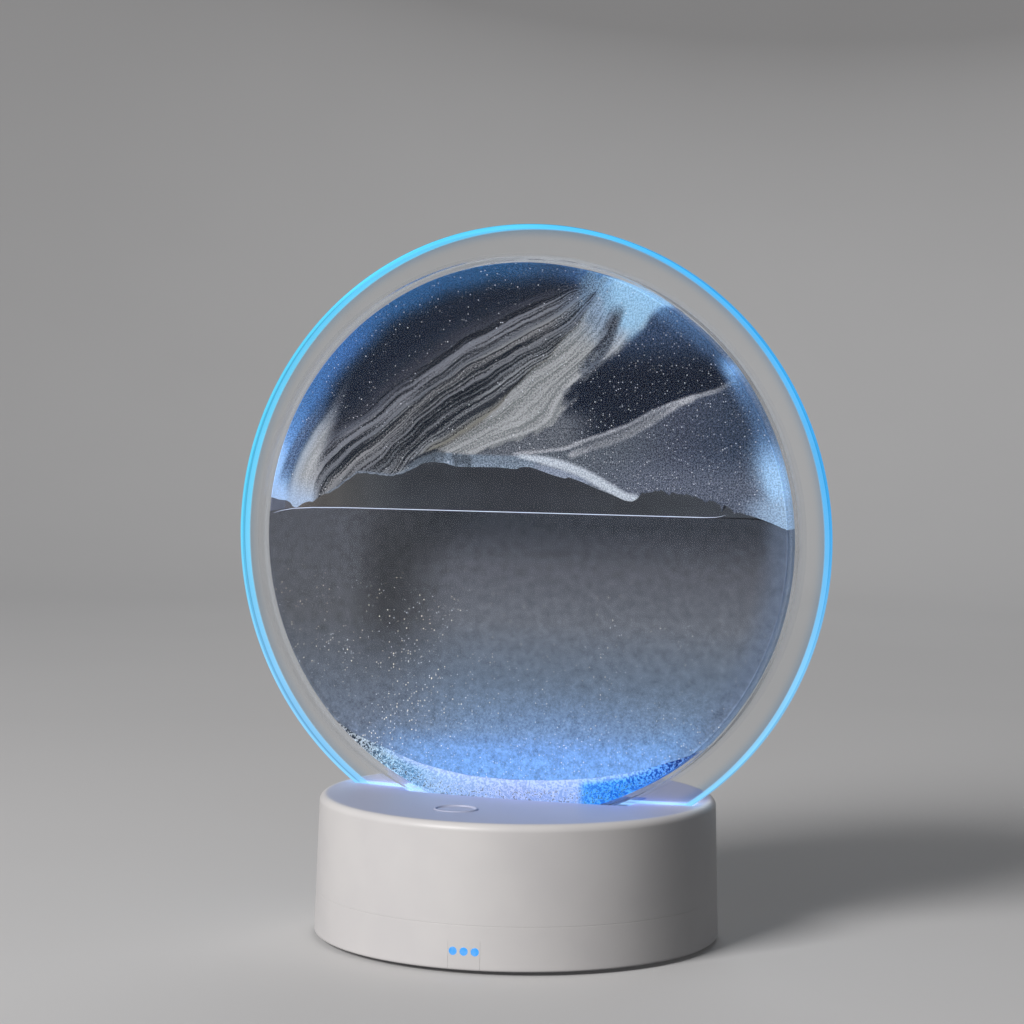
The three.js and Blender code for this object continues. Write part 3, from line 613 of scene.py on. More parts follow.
@dataclass(frozen=True)
class CircuitBoard(Finish):
    """Green solder mask with tracks showing through."""

    name: str = "circuit_board"
    mask: Colour = linear(22, 92, 56)
    track: Colour = linear(46, 128, 78)

    def inputs(self, nodes: Nodes) -> dict:
        """Tracks along the borders of square cells.

        Args:
            nodes: The material's node tree.

        Returns:
            The shader's inputs, by name.
        """
        inputs = {"Vector": nodes.spot(), "Scale": 420.0, "Randomness": 0.15}
        cells = nodes.add("TexVoronoi", inputs, feature="DISTANCE_TO_EDGE", distance="MANHATTAN")
        tracks = nodes.ease(cells.outputs[0], 0.12, 0.05)
        colour = nodes.mix(tracks, self.mask, self.track)
        return dict(base_color=colour, roughness=0.38, normal=nodes.bump(tracks, 0.00003, 0.6))


@dataclass(frozen=True)
class Glow(Finish):
    """Clear resin or a light guide that shines; the fluid's bead uses it for a painted glint."""

    colour: Colour
    light: Colour
    strength: float

    def inputs(self, nodes: Nodes) -> dict:
        """Light that is a little paler in places.

        Args:
            nodes: The material's node tree.

        Returns:
            The shader's inputs, by name.
        """
        cloud = nodes.noise(nodes.spot(), 700.0, 2.0)
        paler = tuple(0.1 + 0.9 * part for part in self.light)
        return dict(
            base_color=self.colour, roughness=0.25, emission_strength=self.strength,
            emission_color=nodes.mix(nodes.ease(cloud, 0.2, 0.8), self.light, paler))


@dataclass(frozen=True)
class Rubber(Finish):
    """Dull dark rubber with a fine mottle."""

    name: str = "foot_rubber"
    colour: Colour = linear(44, 44, 46)
    shade: Colour = linear(28, 28, 30)

    def inputs(self, nodes: Nodes) -> dict:
        """One noise for colour and texture.

        Args:
            nodes: The material's node tree.

        Returns:
            The shader's inputs, by name.
        """
        fine = nodes.noise(nodes.spot(), 900.0)
        colour = nodes.mix(fine, self.shade, self.colour)
        return dict(base_color=colour, roughness=0.82, normal=nodes.bump(fine, 0.00004, 0.6))


@dataclass(frozen=True)
class Glass(Finish):
    """Clear glass whose gloss varies a little over the surface."""

    name: str = "picture_glass"
    tint: Colour = (0.985, 0.99, 0.995)
    roughness: float = 0.005
    index: float = 1.02
    haze: float = 0.01
    coat: float = 0.1

    def inputs(self, nodes: Nodes) -> dict:
        """A slightly uneven gloss.

        Args:
            nodes: The material's node tree.

        Returns:
            The shader's inputs, by name.
        """
        gloss = nodes.line(nodes.noise(nodes.spot(), 55.0), self.haze, self.roughness)
        return dict(base_color=self.tint, roughness=gloss, ior=self.index, transmission_weight=1.0,
                    coat_weight=self.coat, coat_roughness=0.03)


@dataclass(frozen=True)
class EdgeLitAcrylic(Finish):
    """Clear acrylic whose polished edge and bevels shine with the light fed in from below, in metres."""

    name: str = "edge_lit_acrylic"
    slot: float = DISC_CENTRE[0] * MM
    centre: float = DISC_CENTRE[1] * MM
    edge: float = 0.0993
    bevel: float = 0.0016
    base_top: float = 0.0441
    clear: Colour = (0.975, 0.99, 1.0)
    upper_left: Colour = linear(64, 206, 242)
    lower_left: Colour = linear(128, 202, 244)
    right: Colour = linear(18, 168, 236)
    foot: Colour = linear(158, 212, 250)
    halo: Colour = (0.3, 0.62, 0.95)
    strength: float = 1.0

    def inputs(self, nodes: Nodes) -> dict:
        """The glow: full on the edge and bevel, by its angle round the plate, with a blue fringe inside.

        Args:
            nodes: The material's node tree.

        Returns:
            The shader's inputs, by name.
        """
        x, y, z = nodes.parts(nodes.spot((0.0, self.slot, self.centre)))
        radius = nodes.reach(x, z)
        rim = nodes.ease(radius, self.edge - 0.0002, self.edge + 0.0003)
        fringe = nodes.math("POWER", nodes.ease(radius, self.edge - 0.0045, self.edge), 2.0)
        low = nodes.ease(z, 0.02, -0.06)
        left = nodes.mix(low, self.upper_left, self.lower_left)
        hue = nodes.mix(nodes.ease(x, -0.03, 0.06), left, nodes.mix(low, self.right, self.lower_left))
        depth = nodes.math("ABSOLUTE", y)
        bevel = nodes.ease(depth, self.bevel, self.bevel + 0.0003)
        groove = nodes.ease(nodes.gap(depth, self.bevel), 0.00024, 0.0001)
        cloud = nodes.noise(nodes.spot(), 30.0)
        bright = nodes.line(bevel, 0.2, nodes.line(groove, -0.18, nodes.line(cloud, 0.3, 0.62)))
        lit = nodes.mix(bright, BLACK, nodes.mix(nodes.times(bevel, 0.2), hue, self.foot))
        lift = nodes.math("ADD", z, self.centre)
        crest = self.base_top + 0.0002
        foot = nodes.times(nodes.ease(lift, crest - 0.0008, crest), nodes.ease(lift, crest + 0.0006, crest))
        under = nodes.ease(lift, self.base_top - 0.0002, self.base_top - 0.004)
        glow = nodes.mix(nodes.times(under, 0.5), nodes.mix(rim, BLACK, lit), self.foot)
        dim = nodes.math("MAXIMUM", nodes.times(rim, 0.97), nodes.times(foot, 0.9))
        tint = nodes.mix(nodes.times(fringe, 0.55), self.clear, self.halo)
        return dict(
            base_color=nodes.mix(dim, tint, (0.01, 0.03, 0.06)), roughness=nodes.line(cloud, 0.04, 0.01), ior=1.03,
            coat_weight=0.3, coat_roughness=0.03, transmission_weight=1.0,
            emission_color=nodes.mix(foot, glow, self.foot), emission_strength=self.strength)


@dataclass(frozen=True)
class LayeredSand(Finish):
    """Fine sand in flowing layers with glitter, painted from the attributes that Wash stores, in metres."""

    name: str = "layered_sand"
    grain: float = 0.0005
    flake: float = 0.0007
    black: Colour = linear(40, 46, 70)
    cool: Colour = linear(132, 152, 190)
    warm: Colour = linear(204, 205, 204)

    def inputs(self, nodes: Nodes) -> dict:
        """The sand: flow holds layer, way along it and stripes, extra holds flakes, painted glow and pepper.

        Args:
            nodes: The material's node tree.

        Returns:
            The shader's inputs, by name.
        """
        layer, along, striped = nodes.parts(nodes.stored("flow"))
        flakes, glow, pepper = nodes.parts(nodes.stored("extra"))
        spot = nodes.spot()
        waver = nodes.noise(spot, 70.0)
        grain = nodes.noise(spot, 1 / self.grain, 2.0, 0.7)
        clump = nodes.noise(spot, 0.5 / self.grain, 2.0)
        bent = nodes.line(waver, 0.6, nodes.line(grain, 0.28, layer))
        broad = nodes.add("CombineXYZ", {0: nodes.times(bent, 4.6), 1: nodes.times(along, 1.5), 2: 4.3}).outputs[0]
        stripes = nodes.noise(broad, 1.0, 2.5, 0.68)
        plain = nodes.line(clump, 0.22, nodes.times(grain, 0.78))
        lined = nodes.line(stripes, 0.8, nodes.line(grain, 0.38, -0.09))
        mixed = nodes.add("Mix", {0: striped, 2: plain, 3: lined}).outputs[0]
        colour = nodes.mix(nodes.ease(mixed, 0.43, 0.57), nodes.stored("deep"), nodes.stored("bright"))
        speckle = nodes.ease(nodes.noise(spot, 1 / self.grain, 1.0), 0.57, 0.65)
        colour = nodes.mix(nodes.times(speckle, pepper), colour, self.black)
        chance, tone, away = nodes.cells(spot, self.flake)
        power = nodes.math("POWER", nodes.chosen(chance, flakes, flakes), 3.0)
        flake = nodes.times(nodes.ease(away, 0.34, 0.16), power)
        colour = nodes.mix(flake, colour, nodes.mix(tone, self.cool, self.warm))
        # Painted light: the stored glow, plus a painted glint on each flake, is given off as emission.
        shine = nodes.mix(nodes.math("ADD", glow, nodes.times(flake, 0.2)), BLACK, colour)
        return dict(base_color=colour, roughness=0.9, normal=nodes.bump(mixed, 0.00008, 0.4),
                    emission_color=shine, emission_strength=1.0, specular_ior_level=0.0)


@dataclass(frozen=True)
class CloudyFluid(Finish):
    """Fluid clouded by dust, with sparse drifting glitter that gathers in clusters, in metres."""

    name: str = "cloudy_fluid"
    flake: float = 0.00075
    cool: Colour = linear(200, 208, 220)
    warm: Colour = linear(244, 236, 214)

    def inputs(self, nodes: Nodes) -> dict:
        """The fluid: the stored tint, soft mottling and bright specks where a slow noise is high, with painted glow
        and a painted glint on the specks given off as emission.

        Args:
            nodes: The material's node tree.

        Returns:
            The shader's inputs, by name.
        """
        crowd, glow, sandy = nodes.parts(nodes.stored("extra"))
        spot = nodes.spot()
        blotch = nodes.noise(spot, 330.0, 3.0, 0.6)
        dusty = nodes.noise(spot, 1500.0, 2.0, 0.7)
        rough = nodes.times(nodes.math("SUBTRACT", dusty, 0.5), nodes.line(sandy, 1.0, 0.45))
        colour = nodes.shaded(nodes.stored("tint"), nodes.math("ADD", nodes.line(blotch, 0.9, 0.55), rough))
        cluster = nodes.ease(nodes.noise(spot, 42.0), 0.4, 0.62)
        chance, tone, away = nodes.cells(spot, self.flake)
        share = nodes.times(nodes.line(cluster, 0.6, 0.4), crowd)
        power = nodes.math("MINIMUM", nodes.chosen(chance, share, 0.4), 1.0)
        dot = nodes.times(nodes.ease(away, 0.28, 0.13), power)
        colour = nodes.mix(dot, colour, nodes.mix(tone, self.cool, self.warm))
        # Painted light: the stored glow and a glint on each speck shine as emission.
        shine = nodes.mix(nodes.math("ADD", glow, nodes.times(dot, 0.5)), BLACK, colour)
        return dict(base_color=colour, roughness=0.6, emission_color=shine, emission_strength=1.0,
                    specular_ior_level=0.0)


@dataclass(frozen=True)
class PaintedPocket(Finish):
    """A thin sheet on the glass in the stored tint, mostly given off as emission: painted shade seen through the air
    pocket and painted light on its wall.
    """

    patches: float = 120.0
    light: float = 0.75

    def inputs(self, nodes: Nodes) -> dict:
        """The tint, stronger and weaker in places, mostly given off as painted light.

        Args:
            nodes: The material's node tree.

        Returns:
            The shader's inputs, by name.
        """
        cloud = nodes.noise(nodes.spot(), self.patches, 5.0)
        colour = nodes.shaded(nodes.stored("tint"), nodes.line(cloud, 0.5, 0.75))
        return dict(base_color=nodes.mix(0.75, colour, BLACK), roughness=0.7, specular_ior_level=0.0,
                    emission_color=colour, emission_strength=self.light)


@dataclass(frozen=True)
class ThinClear(Finish):
    """Clear resin so thin or so well matched to its neighbours that it shows only as a faint veil."""

    colour: Colour
    alpha: float

    def inputs(self, nodes: Nodes) -> dict:
        """The veil, a little cloudier in places.

        Args:
            nodes: The material's node tree.

        Returns:
            The shader's inputs, by name.
        """
        cloud = nodes.noise(nodes.spot(), 55.0)
        tint = nodes.mix(nodes.ease(cloud, 0.3, 0.7), self.colour, tuple(0.85 * part for part in self.colour))
        return dict(base_color=tint, roughness=nodes.line(cloud, 0.1, 0.05), alpha=self.alpha)


@dataclass(frozen=True)
class Paper(Finish):
    """Pale paper with a faint cloud and fine fibres."""

    name: str = "pale_paper"
    colour: Colour = linear(215, 214, 213)
    shade: Colour = linear(208, 207, 206)

    def inputs(self, nodes: Nodes) -> dict:
        """A cloudy colour over a texture of fibres.

        Args:
            nodes: The material's node tree.

        Returns:
            The shader's inputs, by name.
        """
        cloud = nodes.noise(nodes.spot(), 3.0)
        fibre = nodes.noise(nodes.spot(), 900.0, 2.0)
        return dict(base_color=nodes.mix(cloud, self.shade, self.colour), roughness=0.9,
                    normal=nodes.bump(fibre, 0.00005, 0.3))


def paint(piece: Piece, finish: Finish) -> None:
    """Makes a finish the piece's only one."""
    piece.data.materials.clear()
    piece.data.materials.append(finish.material())


def paint_node(node: Piece, finish: Finish) -> None:
    """Gives a CAD node its finish through its own material slots."""
    for slot in node.material_slots:
        slot.material = finish.material()


# The base


@dataclass
class Base:
    """The round two-part housing with its key, feet, charge window and the works inside it.

    Bars at the posts and feet are (radius, low, high). The slot and pocket are (radius, half width). The ring on the
    key is (inset, radius). The inlet is (width, height, height of its middle).
    """

    radius: float = 65.0
    bottom: float = 1.2
    seam: float = 14.7
    gap: float = 0.009
    shoulder: float = 42.7
    lean: float = 1.3
    flat_radius: float = 61.3
    fillet: float = 2.4
    centre_top: float = 44.1
    ceiling: float = 41.7
    floor: float = 3.6
    wall: float = 2.4
    lap: float = 3.0
    edge: float = 0.06
    chamfer: float = 1.2
    foot_round: float = 0.6
    steps: int = 192
    slot: Pair = (101.2, 3.4)
    pocket: Pair = (91.8, 9.6)
    key_place: Pair = (-7.4, -35.5)
    key_radius: float = 7.03
    key_gap: float = 0.07
    key_low: float = 43.56
    key_high: float = 44.42
    ring: Pair = (0.55, 0.5)
    hollow: float = 0.05
    posts: Pair = (37.9, 35.6)
    boss: Triple = (4.0, 16.3, 42.7)
    post: Triple = (4.0, 2.4, 16.0)
    screw_hole: Triple = (1.7, 0.0, 18.0)
    screw_head: Triple = (3.1, 0.0, 8.0)
    foot: Triple = (6.3, 0.0, 2.2)
    foot_circle: float = 50.0
    inlet: Triple = (9.64, 3.96, 10.83)
    window_angle: float = 6.3
    window_width: float = 10.0
    window_top: float = 10.1
    window_depth: float = 2.3
    lens_radius: float = 1.25
    lens_length: float = 4.2
    lens_swell: float = 0.12
    lens_gap: float = 0.02
    lens_pitch: float = 3.4
    lens_height: float = 6.9

    def outer(self, height: float) -> float:
        """The outer radius at a height: the wall leans in evenly from the bottom to the shoulder."""
        return self.radius - self.lean * (height - self.bottom) / (self.shoulder - self.bottom)

    def inner(self, height: float) -> float:
        """The inner radius at a height."""
        return self.outer(height) - self.wall

    def sides(self, *heights: float) -> list:
        """Points on the outer wall."""
        return [(self.outer(height), height) for height in heights]

    def foot_edge(self) -> list:
        """The wall's rounded lower edge."""
        size = self.foot_round
        return arc((self.outer(self.bottom) - size, self.bottom + size), size, -90, 0, 4)

    def upper_profile(self) -> list:
        """The cap's closed profile from the middle of the ceiling, down the inside and up to the dished top.

        Returns:
            Points of (radius, height).
        """
        low = self.seam + self.gap
        tongue = low + self.lap
        half = self.wall / 2
        inside = [(0, self.ceiling), (self.inner(self.ceiling) - self.chamfer, self.ceiling),
                  (self.inner(self.ceiling), self.ceiling - self.chamfer), (self.inner(tongue), tongue),
                  (self.inner(tongue) + half, tongue), (self.inner(low) + half, low)]
        round_seam = arc((self.outer(low) - self.edge, low + self.edge), self.edge, -90, 0, 4)
        rim = arc((self.flat_radius, self.shoulder), self.fillet, 0, 90, 14)
        reach = np.linspace(self.flat_radius, 0, 21)[1:]
        dish = np.column_stack([reach, self.centre_top + (reach / self.flat_radius) ** 2]).tolist()
        return inside + round_seam + self.sides(low + self.edge + 0.3, self.shoulder - 0.6) + rim + dish

    def lower_profile(self) -> list:
        """The pan's closed profile from the middle of its underside, up the outside and down the inside.

        Returns:
            Points of (radius, height).
        """
        tongue = self.seam + self.lap
        half = self.wall / 2 - self.gap
        round_seam = arc((self.outer(self.seam) - self.edge, self.seam - self.edge), self.edge, 0, 90, 4)
        inside = [(self.inner(self.seam) + half, self.seam), (self.inner(tongue) + half, tongue),
                  (self.inner(tongue), tongue), (self.inner(self.floor), self.floor), (0, self.floor)]
        wall = self.sides(self.bottom + 1.0, self.seam - self.edge - 0.3)
        return [(0, self.bottom)] + self.foot_edge() + wall + round_seam + inside

    def at_posts(self, name: str, size: Triple) -> list[Piece]:
        """A round bar at each of the four posts, by its radius, lower and upper end."""
        x, y = self.posts
        return [moved(bar(name, *size), *spot, 0) for spot in ((-x, -y), (-x, y), (x, -y), (x, y))]

    def cap(self) -> Piece:
        """The smooth cap, with its bosses, the key's recess, the plate's slot and the disc's wider pocket.

        Returns:
            The new piece, in place.
        """
        piece = turned("shell_cap", self.upper_profile(), self.steps)
        cut(piece, self.at_posts("boss", self.boss), join=Join.ADD)
        recess = bar("recess", self.key_radius + self.key_gap, self.key_low - 0.3, 50, 96)
        tools = [moved(recess, *self.key_place, 0)]
        for name, (radius, half) in (("slot", self.slot), ("pocket", self.pocket)):
            tools.append(moved(bar(name, radius, -half, half, 360, Turn.ACROSS), 0, *DISC_CENTRE))
        cut(piece, tools)
        return piece

    def pan(self) -> Piece:
        """The smooth pan, with its posts, screw holes, foot recesses, window notch and inlet.

        Returns:
            The new piece, in place.
        """
        piece = turned("shell_pan", self.lower_profile(), self.steps)
        cut(piece, self.at_posts("post", self.post), join=Join.ADD)
        tools = self.at_posts("hole", self.screw_hole) + self.at_posts("head", self.screw_head)
        for x, y in ((1, 0), (0, 1), (-1, 0), (0, -1)):
            tools.append(moved(bar("foot", *self.foot, 64), x * self.foot_circle, y * self.foot_circle, 0))
        cut(piece, [*tools, self.window_tool(), self.inlet_tool()])
        return piece

    def at_window(self, piece: Piece) -> Piece:
        """Turns a piece from the front to the window's angle."""
        piece.data.transform(Matrix.Rotation(math.radians(self.window_angle), 4, "Z"))
        return piece

    def window_tool(self) -> Piece:
        """A turned block through the side wall that spares the floor inside it.

        Returns:
            The tool, in place.
        """
        half = self.window_width / 2 + 0.02
        near = self.inner(self.bottom) - 0.1
        return self.at_window(box("window", (-half, -near - 6, 0), (half, -near, self.window_top)))

    def inlet_tool(self) -> Piece:
        """A bar with round ends that opens the back wall: a stadium carried from inside to outside.

        Returns:
            The tool, in place.
        """
        width, height, centre = self.inlet
        radius = height / 2
        reach = width / 2 - radius
        outline = arc((reach, centre), radius, -90, 90, 12) + arc((-reach, centre), radius, 90, 270, 12)
        flat = np.array(outline + outline[:1])
        near, far = self.inner(centre) - 2, self.radius + 2
        middle = np.broadcast_to(np.array([0.0, centre]), flat.shape)
        layers = [(middle, near), (flat, near), (flat, far), (middle, far)]
        return mesh_object("inlet", np.stack([np.insert(edge, 1, depth, axis=1) for edge, depth in layers]))

    def window_plug(self) -> Piece:
        """The charge window's insert: the wall's own profile turned through a few degrees, with lens holes.

        Returns:
            The new piece, in place.
        """
        low, high = self.bottom, self.window_top - 0.005
        waist = (self.lens_height - 1.9, self.lens_height - 1.2)
        wall = self.foot_edge() + self.sides(low + 1, *waist, high)
        inside = (self.outer(low) - self.window_depth, low)
        profile = [inside, *wall, (self.outer(high) - self.window_depth, high), inside]
        radius, height = np.array(profile).T
        half = (self.window_width / 2 - 0.03 + 0.04 * fade(*waist, height)) / self.radius
        turn = np.linspace(-1, 1, 13)[:, None] * half + math.radians(self.window_angle) - math.pi / 2
        sweep = np.broadcast_arrays(radius * np.cos(turn), radius * np.sin(turn), height)
        piece = capped("window_plug", np.stack(sweep, -1))
        holes = [bar("lens_hole", self.lens_radius + self.lens_gap, -70, -50, 40, Turn.ACROSS) for _ in range(3)]
        cut(piece, [self.at_window(moved(hole, offset, 0, self.lens_height))
                    for hole, offset in zip(holes, self.lens_places())])
        return piece

    def lens_places(self) -> Triple:
        """How far each light guide stands from the window's middle."""
        return (-self.lens_pitch, 0, self.lens_pitch)

    def lens(self, offset: float, index: int) -> Piece:
        """One round light guide that swells a little out of the wall: a rod with a domed front.

        Args:
            offset: How far it stands from the window's middle.
            index: Its number.

        Returns:
            The new piece, in place.
        """
        face = -math.sqrt(self.outer(self.lens_height) ** 2 - offset**2)
        turn = np.linspace(0, math.pi / 2, 9)
        front = face + self.lens_swell * (1 - np.cos(turn)) - self.lens_gap
        dome = np.column_stack([self.lens_radius * np.sin(turn), front]).tolist()
        profile = [*dome, (self.lens_radius, face + self.lens_length), (0, face + self.lens_length)]
        piece = turned(f"charge_dot_{index}", profile, 40, Turn.ACROSS)
        return self.at_window(moved(piece, offset, 0, self.lens_height))

    def key(self) -> Piece:
        """The touch key: a coin with a fine raised ring for the finger round its hollow top.

        Returns:
            The new piece, in place.
        """
        radius, low, high = self.key_radius, self.key_low, self.key_high
        inset, thick = self.ring
        ring = arc((radius - inset, high - self.hollow), thick, 10, 170, 14)
        reach = np.linspace(radius - 1.15, 0, 9)
        hollow = np.column_stack([reach, high - 0.02 - self.hollow * (1 - (reach / radius) ** 2)]).tolist()
        profile = [(0, low), (radius - 0.1, low), (radius, low + 0.1), *ring, *hollow]
        return moved(turned("touch_key_cap", profile, 96), *self.key_place, 0)

    def build(self) -> None:
        """Makes the housing's pieces and dresses them and the works inside."""
        for piece, node in ((self.cap(), "upper_housing"), (self.pan(), "lower_housing"),
                            (self.key(), "touch_key"), (self.window_plug(), "indicator_insert")):
            paint(piece, LitShell())
            place(piece, Body.BASE, "housing", node)
        light = Glow("charge_light", linear(8, 24, 60), linear(50, 164, 250), 1.0)
        for index, offset in enumerate(self.lens_places(), 1):
            dot = self.lens(offset, index)
            paint(dot, light)
            place(dot, Body.BASE, "indicator_blue", f"indicator_lens_{index}")
        self.dress()

    def dress(self) -> None:
        """Gives each CAD node of the base its finish, by the longest start or end that its name matches."""
        steel = Metal("zinc_plated_steel", linear(196, 198, 202), linear(150, 152, 158))
        finishes = {f"{part}_screw_": steel for part in ("housing", "holder", "led_board", "main_board")} | {
            "plate_holder": MouldedPlastic("plain_white_plastic", linear(226, 223, 220), linear(216, 213, 210)),
            "foot_": Rubber(),
            "ballast_plate": Metal("ballast_steel", linear(120, 122, 126), linear(84, 86, 90), 0.45),
            "charge_socket": Metal("socket_shell", linear(206, 208, 212), linear(170, 172, 178), 0.28),
            "touch_electrode": Metal("copper", linear(214, 140, 96), linear(176, 104, 66)),
            "led_board": CircuitBoard(),
            "main_board": CircuitBoard("main_board_mask"),
            "indicator_board": CircuitBoard("small_board_mask"),
            "battery_cell": MouldedPlastic("cell_sleeve", linear(64, 118, 178), linear(48, 96, 156), 0.3),
            "battery_holder": MouldedPlastic("dark_plastic", linear(46, 47, 50), linear(34, 35, 38), 0.5),
            "_lead": MouldedPlastic("lead_sleeve", linear(150, 34, 34), linear(112, 24, 26), 0.45),
            "led_": Glow("lamp_light", linear(235, 240, 250), linear(170, 220, 255), 2.5),
        }
        for name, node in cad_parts.items():
            match = [key for key in finishes if name.startswith(key) or name.endswith(key)]
            if match:
                paint_node(node, finishes[max(match, key=len)])


# The clear plate


@dataclass
class Plate:
    """The clear round plate with bevelled rim, a hole for the disc and a flat lower end."""

    radius: float = 100.8
    hole: float = 90.0
    half: float = 3.0
    bevel: float = 1.4
    soft: float = 0.12
    flat: float = 98.3
    steps: int = 384
    sharp: float = 20.0

    def profile(self) -> list:
        """The ring's closed cross-section: its rear half mirrored to the front, with softened corners.

        Returns:
            Points of (radius, depth).
        """
        outer, inner, half, bevel, soft = self.radius, self.hole, self.half, self.bevel, self.soft
        rear = [(outer, half - bevel - soft), (outer - soft, half - bevel + soft),
                (outer - bevel + soft, half - soft * 1.5), (outer - bevel - soft, half),
                (inner + soft, half), (inner, half - soft)]
        front = [(radius, -depth) for radius, depth in reversed(rear)]
        return [*front, *rear, front[0]]

    def build(self) -> None:
        """Makes the plate and cuts its flat lower end."""
        piece = turned("edge_lit_plate", self.profile(), self.steps, Turn.ACROSS, self.sharp)
        cut(piece, [box("flat", (-60, -10, -self.radius - 10), (60, 10, -self.flat))], self.sharp)
        moved(piece, 0, *DISC_CENTRE)
        paint(piece, EdgeLitAcrylic())
        piece.visible_shadow = False
        place(piece, Body.PLATE, "clear_plate", "light_plate")


# The sand picture


def thin_plate(places: Grid, values: Grid, targets: Grid) -> Grid:
    """A smooth field through values at places: a plane plus a sum of r² log r bumps (thin-plate spline).

    Args:
        places: Known points, shape (n, 2).
        values: Their values, shape (n,).
        targets: Points where the field is wanted, shape (m, 2).

    Returns:
        The field at the targets, shape (m,).
    """
    def bumps(first: Grid, second: Grid) -> Grid:
        """r² log r for each pair of points."""
        square = ((first[:, None] - second[None]) ** 2).sum(-1)
        return square * np.log(square + 1e-12) / 2

    count = len(places)
    plane = np.column_stack([np.ones(count), places])
    system = np.zeros((count + 3, count + 3))
    system[:count, :count] = bumps(places, places) + 1e-4 * np.eye(count)
    system[:count, count:] = plane
    system[count:, :count] = plane.T
    weights = np.linalg.solve(system, np.concatenate([values, np.zeros(3)]))
    out = bumps(targets, places) @ weights[:count]
    return out + np.column_stack([np.ones(len(targets)), targets]) @ weights[count:]


def near_path(path: Sequence[Pair], spots: Grid) -> Grid:
    """The distance from each spot to the nearest point of a bent line.

    Args:
        path: The line's corners.
        spots: Points, shape (m, 2).

    Returns:
        Distances, shape (m,).
    """
    corners = np.asarray(path, float)
    start, ahead = corners[:-1], np.diff(corners, axis=0)
    away = spots[:, None] - start[None]
    share = np.clip((away * ahead).sum(-1) / (ahead**2).sum(-1), 0, 1)
    return np.sqrt(((away - share[..., None] * ahead) ** 2).sum(-1)).min(1)


def veil(base: Grid, target: Grid | Rows | Colour, share: Grid) -> None:
    """Moves each row of an array towards a target by the row's share, in place."""
    base += (np.asarray(target, float) - base) * share[:, None]


def between(first: Grid | Colour, second: Grid | Colour, share: Grid) -> Grid:
    """Rows between two colours, or between two arrays of them, by the row's share."""
    share = share[:, None]
    return np.asarray(first, float) * (1 - share) + np.asarray(second, float) * share


def across(rows: Rows, value: Grid) -> Grid:
    """Reads a table of (place, result) at each value, straight between its rows."""
    return np.interp(value, *np.array(rows, float).T)


def ramp(rows: Rows, value: Grid) -> Grid:
    """Reads a table of (place, red, green, blue) at each value, straight between its rows."""
    known, *colour = np.array(rows, float).T
    return np.stack([np.interp(value, known, part) for part in colour], -1)


class Look(Enum):
    """Regions of the sand: screen colours of dark and light grains, then stripes, flakes and glow, the share given off
    as painted light.
    """

    NIGHT = ((10, 14, 25), (33, 40, 55), 0.05, 0.45, 0.03)
    NIGHT_SKY = ((26, 40, 62), (56, 74, 102), 0.05, 0.6, 0.04)
    NIGHT_VEIL = ((56, 61, 70), (98, 103, 112), 0.05, 0.45, 0.04)
    LOW_SLOPE = ((60, 67, 82), (102, 109, 125), 0.0, 0.6, 0.04)
    RIDGE = ((108, 112, 120), (158, 161, 168), 0.1, 0.08, 0.05)
    TROUGH = ((52, 57, 66), (98, 102, 110), 0.35, 0.1, 0.04)
    SPECKLE = ((60, 72, 88), (112, 128, 146), 0.2, 0.1, 0.05)
    ICE = ((112, 150, 180), (142, 182, 213), 0.1, 0.08, 0.06)
    LOBE = ((32, 37, 47), (84, 92, 105), 0.3, 0.1, 0.04)
    DUST = ((56, 72, 94), (104, 132, 158), 0.2, 0.15, 0.05)
    LEFT_GLOW = ((130, 164, 208), (140, 180, 230), 0.0, 0.02, 0.08)
    RIGHT_GLOW = ((122, 154, 188), (156, 194, 230), 0.0, 0.2, 0.08)
    CORNER_GLOW = ((112, 132, 156), (144, 170, 198), 0.1, 0.25, 0.06)
    STREAK = ((48, 62, 88), (88, 110, 144), 0.2, 0.1, 0.04)
    PALE_FOOT = ((140, 160, 190), (152, 176, 210), 0.0, 0.02, 0.06)
    CRACK = ((22, 26, 34), (40, 46, 56), 0.0, 0.02, 0.02)
    OUTLINE = ((92, 102, 116), (124, 136, 152), 0.0, 0.02, 0.05)
    SLOPE_LINE = ((138, 146, 158), (180, 189, 200), 0.0, 0.02, 0.06)
    SLOPE_FOOT = ((98, 108, 126), (134, 144, 162), 0.0, 0.02, 0.06)
    LIT_BED_CREST = ((150, 172, 222), (176, 198, 240), 0.0, 0.04, 0.2)


